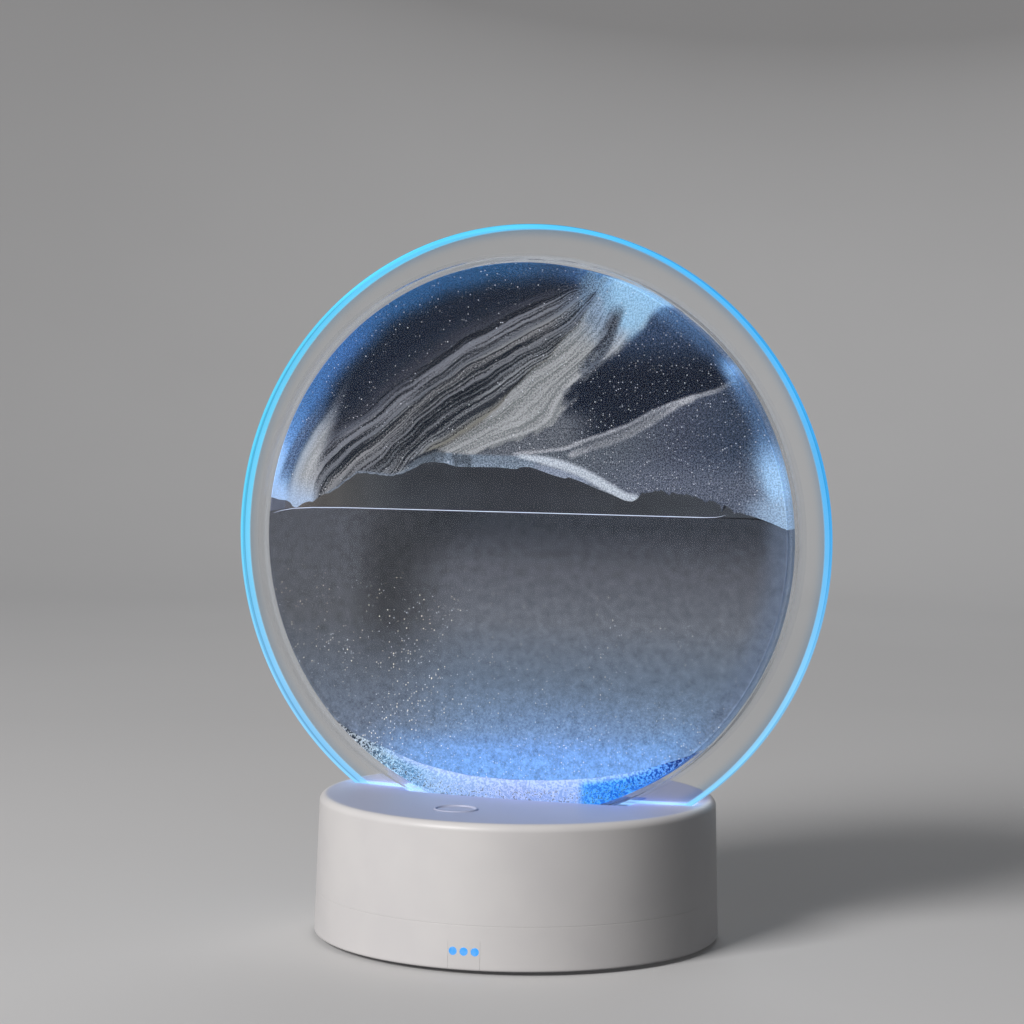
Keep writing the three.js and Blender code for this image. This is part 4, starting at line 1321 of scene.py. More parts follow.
@dataclass
class Wash:
    """Looks of a piece of sand, laid over one another region by region.

    Places u to the right and w upward are in shares of the cell's radius about its centre.
    """

    spots: Grid
    u: Grid = field(init=False)
    w: Grid = field(init=False)
    reach: Grid = field(init=False)
    deep: Grid = field(init=False)
    bright: Grid = field(init=False)
    look: Grid = field(init=False)

    def __post_init__(self) -> None:
        """Starts with black sand without stripes, flakes or glow."""
        self.u, self.w = self.spots.T
        self.reach = np.hypot(self.u, self.w)
        self.deep, self.bright, self.look = np.zeros((3, len(self.spots), 3))

    def add(self, mask: Grid, deep: Grid | Colour, bright: Grid | Colour, stripes: float, flakes: float,
            glow: float) -> None:
        """Covers a region.

        Args:
            mask: 0 to 1 at each vertex.
            deep: Screen colour of the dark grains.
            bright: Screen colour of the light grains.
            stripes: 0 for an even mix of grains, 1 for stripes.
            flakes: Share of cells that hold a glitter flake.
            glow: Share of the colour given off as painted light.
        """
        veil(self.deep, deep, mask)
        veil(self.bright, bright, mask)
        veil(self.look, (stripes, flakes, glow), mask)

    def lay(self, mask: Grid, look: Look) -> None:
        """Covers a region with a named look."""
        self.add(mask, *look.value)

    def finish(self, piece: Piece, flow: Grid, pepper: Grid | float = 0.0) -> None:
        """Stores what the sand's material reads.

        Args:
            piece: The sand's mesh.
            flow: Layer, way along it and stripes, shape (n, 3).
            pepper: Share of black grains.
        """
        extra = np.column_stack([self.look[:, 1:], np.broadcast_to(pepper, len(flow))])
        store(piece, deep=linear_grid(self.deep), bright=linear_grid(self.bright), flow=flow, extra=extra)


@dataclass
class Picture:
    """Colours of the sand above the air pocket, in shares of the cell's radius about its centre.

    Layer borders run from the lower left to the upper right. A field through them numbers every spot,
    so that stripes follow the borders.
    """

    borders: tuple = (
        (-2.2, ((-0.93, 0.3), (-0.86, 0.45), (-0.75, 0.6), (-0.6, 0.74), (-0.4, 0.88), (-0.2, 0.95), (0.1, 0.98))),
        (0.0, ((-0.86, 0.13), (-0.8, 0.29), (-0.7, 0.385), (-0.6, 0.445), (-0.5, 0.53), (-0.4, 0.6),
               (-0.3, 0.665), (-0.2, 0.73), (-0.1, 0.775), (0, 0.825), (0.1, 0.865), (0.2, 0.905), (0.31, 0.95))),
        (1.0, ((-0.82, 0.15), (-0.78, 0.23), (-0.7, 0.31), (-0.6, 0.385), (-0.5, 0.46), (-0.4, 0.53),
               (-0.3, 0.6), (-0.2, 0.665), (-0.1, 0.72), (0, 0.775), (0.1, 0.825), (0.2, 0.88), (0.32, 0.945))),
        (2.0, ((-0.78, 0.14), (-0.7, 0.23), (-0.6, 0.32), (-0.5, 0.4), (-0.4, 0.48), (-0.3, 0.555),
               (-0.2, 0.62), (-0.1, 0.67), (0, 0.72), (0.1, 0.775), (0.2, 0.84), (0.3, 0.92))),
        (3.0, ((-0.62, 0.235), (-0.5, 0.34), (-0.4, 0.43), (-0.3, 0.5), (-0.2, 0.56), (-0.1, 0.62),
               (0, 0.68), (0.1, 0.735), (0.2, 0.79), (0.27, 0.86), (0.33, 0.93))),
        (4.0, ((-0.5, 0.245), (-0.4, 0.35), (-0.3, 0.43), (-0.2, 0.49), (-0.1, 0.555), (0, 0.625),
               (0.1, 0.68), (0.2, 0.75), (0.27, 0.83), (0.34, 0.92))),
        (5.0, ((-0.42, 0.27), (-0.3, 0.37), (-0.2, 0.435), (-0.1, 0.5), (0, 0.57), (0.1, 0.64),
               (0.2, 0.71), (0.28, 0.8), (0.36, 0.91))),
        (6.0, ((-0.34, 0.31), (-0.25, 0.36), (-0.15, 0.42), (-0.05, 0.49), (0.05, 0.565), (0.15, 0.63),
               (0.23, 0.7), (0.31, 0.8), (0.39, 0.9))),
        (8.0, ((-0.17, 0.3), (-0.05, 0.345), (0.05, 0.375), (0.12, 0.42), (0.17, 0.5), (0.25, 0.575),
               (0.33, 0.64), (0.4, 0.71), (0.46, 0.77), (0.52, 0.84))),
        (10.5, ((0.2, 0.34), (0.4, 0.5), (0.6, 0.65), (0.72, 0.7))),
    )
    stream_start: Rows = ((-0.2, 5.9), (-0.1, 5.7), (0.0, 5.1), (0.1, 4.4), (0.17, 3.6), (0.25, 3.1), (0.35, 2.8))
    stream_light: Rows = ((0.18, 0.94), (0.28, 0.88), (0.33, 0.835), (0.38, 0.77), (0.42, 0.73), (0.5, 0.74))
    upper_ridge: Rows = ((-0.02, 0.306), (0.08, 0.318), (0.17, 0.33), (0.25, 0.36), (0.34, 0.39), (0.42, 0.42),
                         (0.5, 0.465), (0.58, 0.5), (0.66, 0.522), (0.74, 0.545), (0.8, 0.58))
    lower_ridge: Rows = ((0.2, 0.308), (0.27, 0.335), (0.34, 0.36), (0.42, 0.39), (0.5, 0.435), (0.56, 0.47),
                         (0.6, 0.497), (0.645, 0.515))
    column_left: Rows = ((0.1, -0.94), (0.2, -0.925), (0.3, -0.885), (0.4, -0.825), (0.5, -0.75), (0.58, -0.69))
    column_right: Rows = ((0.1, -0.82), (0.2, -0.81), (0.3, -0.782), (0.4, -0.742), (0.5, -0.705), (0.58, -0.675))
    grey_dark: Rows = ((0.0, 58, 64, 74), (0.4, 50, 56, 67), (0.6, 38, 44, 58), (0.8, 26, 35, 51))
    grey_light: Rows = ((0.0, 100, 107, 116), (0.4, 86, 93, 104), (0.6, 72, 79, 96), (0.8, 60, 72, 92))
    ridge_width: Rows = ((0.0, 0.75), (0.3, 1.0), (0.5, 1.1), (0.64, 0.8), (0.8, 0.55))
    rim_depth: Rows = ((0, 0.05), (20, 0.09), (30, 0.07), (40, 0.06), (60, 0.07), (90, 0.1), (120, 0.115), (150, 0.13),
                       (165, 0.12), (175, 0.08))
    rim_power: Rows = ((0, 0.9), (15, 1.0), (22, 0.7), (30, 0.55), (35, 0.75), (39, 0.95), (43, 0.5), (56, 0.6),
                       (62, 0.9), (67, 0.66), (72, 0.5), (79, 0.65), (90, 0.9), (110, 0.9), (150, 0.95), (175, 1.0))
    rim_blue: Rows = (
        (0, 130, 160, 196), (15, 126, 164, 206), (25, 70, 98, 134), (34, 76, 108, 150), (38, 112, 154, 202),
        (43, 60, 88, 124), (55, 70, 100, 138), (62, 126, 170, 212), (70, 98, 134, 168), (82, 44, 70, 102),
        (95, 34, 68, 104), (120, 36, 74, 116), (135, 50, 88, 140), (150, 58, 96, 146), (160, 90, 128, 180),
        (170, 138, 174, 222),
    )
    lobe: Rows = ((0.365, 0.835), (0.338, 0.76), (0.315, 0.7), (0.285, 0.655), (0.25, 0.615))
    lip_top: Rows = ((-0.46, 0.245), (-0.4, 0.285), (-0.33, 0.312), (-0.2, 0.304), (0.0, 0.302), (0.06, 0.295))
    slope: Rows = ((0.0, 0.3), (0.08, 0.29), (0.16, 0.272), (0.24, 0.245), (0.32, 0.205), (0.4, 0.163), (0.44, 0.156))
    slope_width: Rows = ((0.0, 0.006), (0.12, 0.016), (0.3, 0.018), (0.46, 0.014))
    dark_by_layer: Rows = (
        (-2.0, 14, 20, 31), (-1.2, 15, 20, 31), (-0.8, 17, 22, 33), (-0.5, 27, 30, 39), (0.0, 24, 27, 35),
        (1.0, 25, 29, 37), (2.0, 30, 34, 42), (3.0, 18, 22, 30), (4.0, 22, 26, 34), (5.0, 36, 40, 48),
        (5.8, 30, 32, 34), (6.3, 88, 92, 95), (8.0, 104, 108, 112),
    )
    light_by_layer: Rows = (
        (-2.0, 32, 41, 57), (-1.2, 34, 41, 56), (-0.8, 37, 44, 58), (-0.5, 46, 50, 62), (-0.1, 60, 64, 75),
        (0.4, 102, 105, 114), (1.0, 104, 107, 115), (1.5, 90, 94, 102), (1.95, 126, 127, 130),
        (2.4, 108, 110, 115), (3.0, 96, 99, 106), (3.6, 92, 96, 103), (4.2, 118, 121, 127),
        (5.0, 112, 116, 122), (5.8, 104, 103, 98), (6.2, 134, 137, 140), (7.0, 146, 149, 152),
        (8.0, 152, 155, 159),
    )

    def layer(self, spots: Grid) -> Grid:
        """The number of the layer at each spot, smooth between the borders.

        Args:
            spots: Points, shape (n, 2).

        Returns:
            Layer numbers, shape (n,).
        """
        places = np.array([spot for _, path in self.borders for spot in path])
        values = np.array([number for number, path in self.borders for _ in path])
        return thin_plate(places, values, spots)

    def dress(self, piece: Piece, spots: Grid, seed: int) -> None:
        """Gives the sand its looks.

        Args:
            piece: The sand's mesh.
            spots: Each vertex's place in shares, shape (n, 2).
            seed: Changes the rough edges.
        """
        wash = Wash(spots)
        u, w = wash.u, wash.w
        layer = self.layer(spots)
        rough = mottle(spots, 9, seed, 4)
        start = across(self.stream_start, u)
        pale = fade(start - 0.25, start + 0.45, layer + 0.35 * rough) * fade(-0.2, 0.0, u)
        toned = layer + pale * np.maximum(6.7 - layer, 0)
        everywhere = np.ones(len(spots))
        # Grain colours by layer, with a little painted light given off everywhere.
        wash.add(everywhere, ramp(self.dark_by_layer, toned), ramp(self.light_by_layer, toned), 0.1, 0.28, 0.04)
        striped = fade(-0.9, 0.1, layer + 0.3 * rough) * fade(8.6, 8.2, layer)
        wash.look[:, STRIPES] += striped * (0.86 - 0.3 * fade(5.9, 6.6, toned))
        wash.look[:, FLAKES] -= fade(-1.0, 0.6, layer) * 0.08
        self.right_side(wash, layer, rough)
        self.rims(wash, layer, rough)
        self.column(wash, rough)
        self.lip(wash)
        # Painted light on the sand's side wall, in place of its shade.
        wash.look[:, PAINTED_GLOW] += 0.8 * fade(*WALL_LIGHT, wash.reach)
        wash.finish(piece, np.column_stack([layer, np.hypot(u - 0.62, w - 1.02), wash.look[:, STRIPES]]))

    def right_side(self, wash: Wash, layer: Grid, rough: Grid) -> None:
        """Dark glitter right of the stream, the two white ridges and the grey glitter below them.

        Args:
            wash: The looks, which are added to.
            layer: Layer number at each spot.
            rough: Patches of -1 to 1 that roughen the edges.
        """
        u, w = wash.u, wash.w
        ragged = mottle(np.column_stack([u + w, (w - u) * 3]), 7, 40, 4)
        beyond = fade(7.9, 8.3, layer + 0.15 * rough + 0.5 * ragged * fade(0.75, 0.55, w))
        shade = fade(0.34, 0.16, u) * fade(0.5, 0.42, w)
        wash.lay(beyond, Look.NIGHT)
        wash.lay(beyond * fade(0.6, 0.76, w), Look.NIGHT_SKY)
        wash.lay(beyond * shade, Look.NIGHT_VEIL)
        ridge = across(self.upper_ridge, u)
        below = fade(ridge + 0.006, ridge - 0.01, w) * fade(-0.03, 0.03, u)
        wash.add(below, ramp(self.grey_dark, u), ramp(self.grey_light, u), 0.05, 0.6, 0.04)
        low = below * fade(0.36, 0.2, w) * fade(0.2, 0.5, u)
        wash.lay(low * 0.8, Look.LOW_SLOPE)
        for path, thick in ((self.upper_ridge, 0.009), (self.lower_ridge, 0.014)):
            gap = near_path(path, wash.spots) + 0.004 * rough
            width = thick * across(self.ridge_width, u)
            broken = 0.82 + 0.18 * fade(-0.5, 0.2, mottle(wash.spots, 18, 47))
            mask = fade(width * 1.4, width * 0.5, gap) * (0.3 + 0.7 * fade(0.84, 0.7, u)) * broken
            wash.lay(mask, Look.RIDGE)
        trough = fade(ridge, ridge - 0.008, w) * fade(0.05, 0.03, ridge - w)
        trough *= fade(0.18, 0.28, u) * fade(0.6, 0.48, u)
        wash.lay(trough * 0.6, Look.TROUGH)

    def rims(self, wash: Wash, layer: Grid, rough: Grid) -> None:
        """Blue light that the plate's edge throws on the sand along the cell's wall.

        Args:
            wash: The looks, which are added to.
            layer: Layer number at each spot.
            rough: Patches of -1 to 1 that roughen the edges.
        """
        u, w, reach = wash.u, wash.w, wash.reach
        turn = np.degrees(np.arctan2(w, u))
        depth = across(self.rim_depth, turn)
        blue = ramp(self.rim_blue, turn)
        pale_blue = np.minimum(blue * 1.16 + np.array([8, 14, 20]), 246)
        mask = fade(1 - depth, 1 - depth * 0.2, reach + 0.012 * rough) * across(self.rim_power, turn)
        wash.add(mask, blue * 0.9, pale_blue * 0.92, 0.0, 0.25, 0.08)
        patch = mottle(np.column_stack([u * 1.4 - w, (u + w) * 0.5]), 30, 60, 4)
        beside = fade(8.25, 7.9, layer)
        cool = fade(0.08, 0.3, u) * fade(0.66, 0.86, w + 0.05 * rough) * beside
        veil(wash.deep, wash.deep * np.array([0.86, 1.0, 1.14]), cool)
        veil(wash.bright, wash.bright * np.array([0.9, 1.02, 1.16]), cool)
        speckled = fade(0.0, 0.5, patch) * fade(0.2, 0.27, u) * fade(0.36, 0.3, u)
        wash.lay(speckled * fade(0.72, 0.8, w) * 0.6, Look.SPECKLE)
        edge = fade(-0.045, 0.06, w + 0.03 * rough - across(self.stream_light, u)) * fade(0.2, 0.37, u)
        edge *= fade(-1.0, 0.1, patch + fade(0.33, 0.41, u))
        wash.lay(edge * beside * 0.92, Look.ICE)
        lobe = fade(0.038, 0.014, near_path(self.lobe, wash.spots)) * fade(-1.4, -0.1, patch)
        lobe *= fade(0.87, 0.78, w)
        wash.lay(lobe, Look.LOBE)
        dusty = fade(0.2, 0.24, u) * fade(0.37, 0.31, u) * fade(-0.5, 0.3, patch) * beside
        wash.lay(dusty * fade(0.8, 0.88, w) * 0.5, Look.DUST)
        left = fade(-0.885, -0.945, u + 0.12 * (w - 0.12) - 0.02 * rough) * fade(0.46, 0.3, w)
        wash.lay(left, Look.LEFT_GLOW)
        right = fade(0.88, 0.99, reach + 0.02 * rough) * fade(0.4, 0.2, w) * fade(0.5, 0.8, u)
        wash.lay(right * 0.95, Look.RIGHT_GLOW)
        low = fade(0.8, 0.92, u) * fade(0.2, 0.13, w)
        wash.lay(low * 0.8, Look.CORNER_GLOW)

    def column(self, wash: Wash, rough: Grid) -> None:
        """The cream column at the lower left, which narrows upwards and fades.

        Args:
            wash: The looks, which are added to.
            rough: Patches of -1 to 1 that roughen the edges.
        """
        u, w = wash.u, wash.w
        left = across(self.column_left, w) + 0.008 * rough
        right = across(self.column_right, w) + 0.008 * rough
        mask = fade(left, left + 0.035, u) * fade(right + 0.03, right - 0.025, u)
        mask *= fade(0.66, 0.36, w + 0.05 * rough)
        streak = fade(0.035, 0.01, np.abs(u - left + 0.012)) * fade(0.14, 0.26, w)
        wash.lay(streak * fade(0.5, 0.4, w) * 0.85, Look.STREAK)
        grey = fade(0.3, 0.52, w)
        warm = (fade(0.02, 0.07, u - left) * (1 - grey))[:, None]
        cream = warm * np.array([6, -1, -10])
        deep = between((136, 148, 162), (66, 74, 88), grey) + cream
        bright = between((150, 160, 174), (116, 122, 132), grey) + cream
        wash.add(mask, deep * (1 - 0.12 * warm), bright, 0.45, 0.03, 0.05)
        # Paler blue at the column's foot, just above the lower edge.
        pale_foot = fade(0.22, 0.11, w + 0.02 * rough) * fade(-0.79, -0.83, u)
        wash.lay(pale_foot * 0.75, Look.PALE_FOOT)

    def lip(self, wash: Wash) -> None:
        """The pale lip under the middle and the bright line along the slope to its right.

        Args:
            wash: The looks, which are added to.
        """
        u, w, spots = wash.u, wash.w, wash.spots
        above = w - across(Disc.lower_edge, u)
        top = across(self.lip_top, u)
        mask = fade(top + 0.004, top - 0.006, w) * fade(-0.47, -0.42, u) * fade(0.1, 0.04, u)
        dull = fade(-0.28, -0.34, u)
        clean = 1 - 0.3 * fade(0.1, 0.6, mottle(spots * np.array([1.0, 0.6]), 24, 71))[:, None]
        low = 1 + 0.14 * fade(0.02, 0.006, above)[:, None]
        deep = between((76, 88, 102), (58, 66, 76), dull) * clean
        wash.add(mask, deep, between((116, 129, 145), (84, 93, 104), dull) * clean * low, 0.15, 0.02, 0.06)
        crack = fade(0.009, 0.002, np.abs(w - top - 0.004)) * fade(-0.47, -0.42, u)
        crack *= fade(-0.28, -0.34, u) * fade(-0.6, 0.0, mottle(spots, 40, 75))
        wash.lay(crack * 0.9, Look.CRACK)
        outline = fade(0.011, 0.004, above) * fade(-0.8, -0.74, u) * fade(-0.38, -0.44, u)
        wash.lay(outline * 0.7, Look.OUTLINE)
        thick = across(self.slope_width, u)
        line = fade(thick * 1.5, thick * 0.6, near_path(self.slope, spots))
        wash.lay(line, Look.SLOPE_LINE)
        under = fade(0.02, 0.1, u) * fade(0.3, 0.24, u)
        under *= fade(0.0, -0.012, w - across(self.slope, u) + 0.012)
        wash.lay(under, Look.SLOPE_FOOT)


# The turning disc


@dataclass
class Disc:
    """The sealed cell that turns in the plate: clear walls and panes, sand, fluid and the settled bed."""

    radius: float = 88.3
    half: float = 5.5
    level: float = 0.095
    steps: int = 384
    sand_steps: tuple[int, int] = (340, 136)
    fluid_steps: tuple[int, int] = (160, 60)
    bed_steps: tuple[int, int] = (220, 14)
    pocket_sheet_steps: tuple[int, int] = (200, 8)
    lower_edge: Rows = (
        (-0.9885, 0.128), (-0.96, 0.12), (-0.93, 0.118), (-0.912, 0.11), (-0.903, 0.096), (-0.893, 0.0915),
        (-0.882, 0.0935), (-0.873, 0.1), (-0.862, 0.108), (-0.85, 0.114), (-0.82, 0.115), (-0.8, 0.128),
        (-0.785, 0.14), (-0.75, 0.151),
        (-0.72, 0.168), (-0.7, 0.186), (-0.67, 0.203), (-0.64, 0.226), (-0.6, 0.226), (-0.55, 0.221),
        (-0.5, 0.218), (-0.46, 0.228), (-0.42, 0.245), (-0.38, 0.266), (-0.34, 0.273), (-0.29, 0.27),
        (-0.25, 0.258), (-0.2, 0.257), (-0.14, 0.258), (-0.08, 0.258), (-0.03, 0.254), (-0.01, 0.253),
        (0.005, 0.261), (0.04, 0.262), (0.08, 0.25), (0.13, 0.234), (0.175, 0.223), (0.19, 0.228),
        (0.24, 0.212), (0.3, 0.187), (0.36, 0.167), (0.4, 0.15), (0.43, 0.146), (0.45, 0.157), (0.465, 0.178),
        (0.5, 0.185), (0.55, 0.181), (0.6, 0.18), (0.64, 0.174), (0.665, 0.163), (0.69, 0.162), (0.72, 0.158),
        (0.75, 0.148), (0.79, 0.131), (0.83, 0.116), (0.87, 0.106), (0.91, 0.094), (0.95, 0.08), (0.98, 0.067),
        (0.9981, 0.061),
    )
    surface: Rows = (
        (-1, -0.02), (-0.97, -0.014), (-0.93, -0.007), (-0.86, -0.002), (-0.75, 0.0), (0.86, -0.001), (0.91, -0.0035),
        (0.95, -0.017), (0.98, -0.0295), (1, -0.0355),
    )
    bed_edge: Rows = (
        (-0.714, -0.7), (-0.65, -0.74), (-0.58, -0.768), (-0.506, -0.793), (-0.43, -0.822), (-0.361, -0.841),
        (-0.27, -0.86), (-0.18, -0.872), (-0.08, -0.877), (0.001, -0.877), (0.1, -0.873), (0.2, -0.865),
        (0.31, -0.85), (0.42, -0.828), (0.54, -0.793), (0.662, -0.749),
    )
    bed_gap: float = 0.0015
    wall_turn: Pair = (172.4, 176.2)
    wall_light_tint: Colour = (108.0, 114.0, 132.0)
    fluid_middle: Rows = (
        (-0.9, 112, 158, 222), (-0.8, 106, 146, 204), (-0.7, 101, 124, 153), (-0.5, 90, 103, 120), (-0.3, 91, 96, 105),
        (-0.1, 75, 78, 86), (0.05, 49, 53, 61),
    )
    fluid_left: Rows = (
        (-0.85, 106, 128, 160), (-0.7, 92, 103, 120), (-0.5, 84, 91, 102), (-0.3, 76, 79, 85), (0.05, 70, 73, 80),
    )
    # Bed grain colours along u; the strong blues from the middle to the right are painted light from the LEDs below.
    bed_dark: Rows = (
        (-0.72, 36, 40, 48), (-0.6, 34, 46, 60), (-0.5, 78, 114, 146), (-0.4, 80, 122, 162), (-0.3, 128, 160, 204),
        (0.0, 128, 150, 202), (0.24, 122, 152, 208), (0.27, 44, 116, 206), (0.4, 14, 88, 190), (0.55, 12, 64, 156),
        (0.63, 18, 36, 94), (0.67, 30, 50, 100),
    )
    bed_light: Rows = (
        (-0.72, 166, 170, 176), (-0.6, 180, 196, 210), (-0.5, 172, 208, 232), (-0.4, 150, 190, 226),
        (-0.3, 168, 198, 234), (0.0, 176, 193, 238), (0.24, 168, 192, 240), (0.27, 92, 172, 246),
        (0.4, 72, 162, 244), (0.55, 92, 158, 240), (0.67, 106, 144, 212),
    )
    pocket_shade_tint: Rows = (
        (-1, 106, 110, 124), (-0.93, 108, 103, 102), (-0.8, 92, 91, 91), (-0.64, 76, 79, 84), (-0.5, 60, 64, 71),
        (0.0, 54, 57, 65), (0.5, 66, 70, 77), (0.9, 74, 80, 90),
    )
    drips: Rows = ((0.7, 1.2), (0.762, 2.4), (0.806, 1.0))
    drip_width: float = 0.004
    back_lift: float = 3.6
    bead: Rows = ((-0.985, 0.068), (-0.95, 0.079), (-0.9, 0.088), (-0.82, 0.0935), (-0.7, 0.096), (0.0, 0.0965),
                  (0.7, 0.0965), (0.74, 0.0985), (0.765, 0.103), (0.78, 0.111))
    bead_radius: float = 0.12
    wall: Rows = ((88.6, 0.15), (89.6, 0.15), (89.6, 3.4), (90.85, 3.4), (91, 3.55), (91, 8.55), (90.75, 8.8),
                  (90.45, 8.8), (90.3, 8.65), (90.3, 5.1), (88.6, 5.1), (88.6, 0.15))
    pane: Rows = ((0, 5.8), (89.7, 5.8), (90, 6.1), (90, 8.1), (89.6, 8.5), (0, 8.6))

    def slab(self, name: str, lower: Grid, upper: Grid, rows: int, front: float, back: float,
             lift: Grid | float = 0.0) -> Piece:
        """A closed loft: at each place along, front face up, back face down, joined by walls.

        Args:
            name: Name of the piece.
            lower: Lower points (x, z) in millimetres about the disc's centre, shape (n, 2).
            upper: The matching upper points, which meet the lower ones at both ends.
            rows: Steps from lower to upper on the front face.
            front: Depth of the front face.
            back: Depth of the back face.
            lift: How far the back's lower edge stands above the front's.

        Returns:
            The new piece, about the origin.
        """
        rise = np.linspace(0, 1, rows)[None, :, None]
        face = lower[:, None] * (1 - rise) + upper[:, None] * rise
        drop = np.linspace(1, 0, max(rows // 2, 2))[None, :, None]
        raised = lower + np.column_stack([np.zeros(len(lower)), np.broadcast_to(lift, len(lower))])
        rear = raised[:, None] * (1 - drop) + upper[:, None] * drop
        flat = np.concatenate([face, rear, face[:, :1]], 1)
        depth = np.concatenate([np.full(rows, front), np.full(rear.shape[1], back), [front]])
        grid = np.stack([flat[..., 0], np.broadcast_to(depth, flat.shape[:2]), flat[..., 1]], -1)
        return mesh_object(name, grid, 40.0)

    def angles(self, table: Rows) -> Grid:
        """The angle of each of a table's points about the centre, in degrees."""
        u, w = np.array(table).T
        return np.degrees(np.arctan2(w, u))

    def shares(self, piece: Piece) -> Grid:
        """Each vertex's place in shares of the cell's radius, before the piece is moved."""
        return vertices(piece)[:, [0, 2]] / self.radius

    def curve(self, table: Rows, start: float, end: float, count: int) -> tuple[Grid, Grid]:
        """An edge through the table's points and the circle's arc between its ends, evenly matched.

        Args:
            table: Edge points in shares, from left to right.
            start: Angle of the arc's left end in degrees.
            end: Angle of its right end.
            count: Points on each.

        Returns:
            The edge and the arc in millimetres, each of shape (count, 2).
        """
        turn = np.radians(np.linspace(start, end, count))
        circle = np.column_stack([np.cos(turn), np.sin(turn)])
        ends = np.asarray(table, float)
        along = (circle[:, 0] - circle[0, 0]) / (circle[-1, 0] - circle[0, 0])
        share = 0.5 * along + 0.5 * np.linspace(0, 1, count)
        x = ends[0, 0] + share * (ends[-1, 0] - ends[0, 0])
        edge = np.column_stack([x, across(table, x)])
        edge[0], edge[-1] = circle[0], circle[-1]
        return edge * self.radius, circle * self.radius

    def sand(self) -> Piece:
        """The hanging sand, crumbly along its lower right edge, whose underside slopes up towards the back.

        Returns:
            The new piece, about the origin.
        """
        edge, circle = self.curve(self.lower_edge, *self.angles(self.lower_edge)[[0, -1]], self.sand_steps[0])
        share = edge[:, 0] / self.radius
        line = np.column_stack([share, np.zeros_like(share)])
        right = fade(0.44, 0.5, share) * fade(0.89, 0.83, share)
        left = fade(-0.97, -0.8, share) * fade(-0.3, -0.5, share)
        crumbs = right * (0.5 * mottle(line, 30, 5) + 0.55 * mottle(line, 95, 9))
        edge[:, 1] += crumbs + left * 0.2 * mottle(line, 60, 8)
        for drip, depth in self.drips:
            edge[:, 1] -= depth * np.exp(-((share - drip) / self.drip_width) ** 2)
        lift = self.back_lift * fade(-0.975, -0.93, share) * fade(0.985, 0.94, share)
        piece = self.slab("hanging_sand", edge, circle, self.sand_steps[1], -self.half, self.half, lift)
        Picture().dress(piece, self.shares(piece), 21)
        paint(piece, LayeredSand())
        return piece

    def fluid(self) -> Piece:
        """The fluid, level on top, with a meniscus that climbs a little at both walls.

        Returns:
            The new piece, about the origin.
        """
        count, rows = self.fluid_steps
        table = [(u, self.level + drop) for u, drop in self.surface]
        start = 180 - math.degrees(math.asin(table[0][1]))
        end = math.degrees(math.asin(table[-1][1]))
        top, _ = self.curve(table, start, end, count)
        turn = np.linspace(start, 360 + end, count)
        bed_reach = np.hypot(*np.array(self.bed_edge).T) - self.bed_gap
        reach = np.interp(turn, 360 + self.angles(self.bed_edge), bed_reach, 1.0, 1.0)
        turn = np.radians(turn)
        circle = np.column_stack([np.cos(turn), np.sin(turn)]) * reach[:, None] * self.radius
        piece = self.slab("cloudy_fluid_fill", circle, top, rows, -self.half, self.half)
        self.cloud(piece)
        paint(piece, CloudyFluid())
        return piece

    def cloud(self, piece: Piece) -> None:
        """Stores the fluid's tint, from grey through blue to the lit bottom, and its glitter, glow and dust.

        Args:
            piece: The fluid.
        """
        u, w = self.shares(piece).T
        reach = np.hypot(u, w)
        tint = between(ramp(self.fluid_middle, w), ramp(self.fluid_left, w), fade(-0.12, -0.6, u))
        # Painted blue light from the LEDs below, strongest at the bottom middle and just above the bed.
        veil(tint, (108, 154, 226), 0.5 * fade(0.62, 0.0, np.hypot((u - 0.22) * 0.8, (w + 0.9) * 1.6)))
        beside = fade(0.16, 0.02, w - across(self.bed_edge, u)) * fade(-0.62, -0.35, u)
        veil(tint, (104, 148, 204), 0.55 * beside)
        shade = fade(-0.7, -0.5, u) * fade(-0.22, -0.52, u - 0.9 * np.maximum(w + 0.12, 0))
        shade *= fade(-0.58, -0.2, w) * (1 - 0.3 * fade(-0.1, 0.08, w))
        tint *= 1 - 0.32 * shade[:, None]
        # Painted light along the wall on the right; a darker grey edge low on the left.
        veil(tint, (88, 101, 122), 0.8 * fade(0.88, 1.0, reach) * fade(0.5, 0.8, u))
        veil(tint, (74, 80, 90), 0.5 * fade(0.965, 1.0, reach) * fade(0.0, -0.4, u) * fade(0.0, -0.2, w))
        crowd = fade(0.02, -0.32, w) * (0.16 + 0.28 * fade(0.05, -0.4, u) + 0.16 * fade(-0.4, -0.75, w))
        crowd += 0.16 * np.exp(-((u - 0.34) / 0.2) ** 2 - ((w + 0.34) / 0.13) ** 2)
        # Painted light: a little glow everywhere, more towards the bottom, and full on the side wall.
        glow = 0.04 + 0.12 * fade(-0.4, -0.85, w) + 0.8 * fade(*WALL_LIGHT, reach)
        store(piece, tint=linear_grid(tint), extra=np.column_stack([crowd, glow, fade(-0.45, -0.7, w)]))

    def bed(self) -> Piece:
        """The bed of settled sand, a thin crescent at the bottom with a fine crest line of painted light.

        Returns:
            The new piece, about the origin.
        """
        edge, circle = self.curve(self.bed_edge, *self.angles(self.bed_edge)[[0, -1]], self.bed_steps[0])
        edge[:, 1] += ripple(edge[:, 0] / self.radius * 6, 31, 6) * 0.08
        circle *= 0.9995
        edge[0], edge[-1] = circle[0], circle[-1]
        piece = self.slab("settled_bed", circle, edge, self.bed_steps[1], -self.half, self.half)
        wash = Wash(self.shares(piece))
        u, w = wash.u, wash.w
        # The bed gives off a fifth of its colour as painted light from the LEDs below.
        wash.add(np.ones(len(u)), ramp(self.bed_dark, u), ramp(self.bed_light, u), 0.0, 0.25, 0.2)
        depth = across(self.bed_edge, u) - w
        crest = fade(0.03, 0.004, depth) * fade(-0.6, -0.4, u) * fade(0.6, 0.4, u)
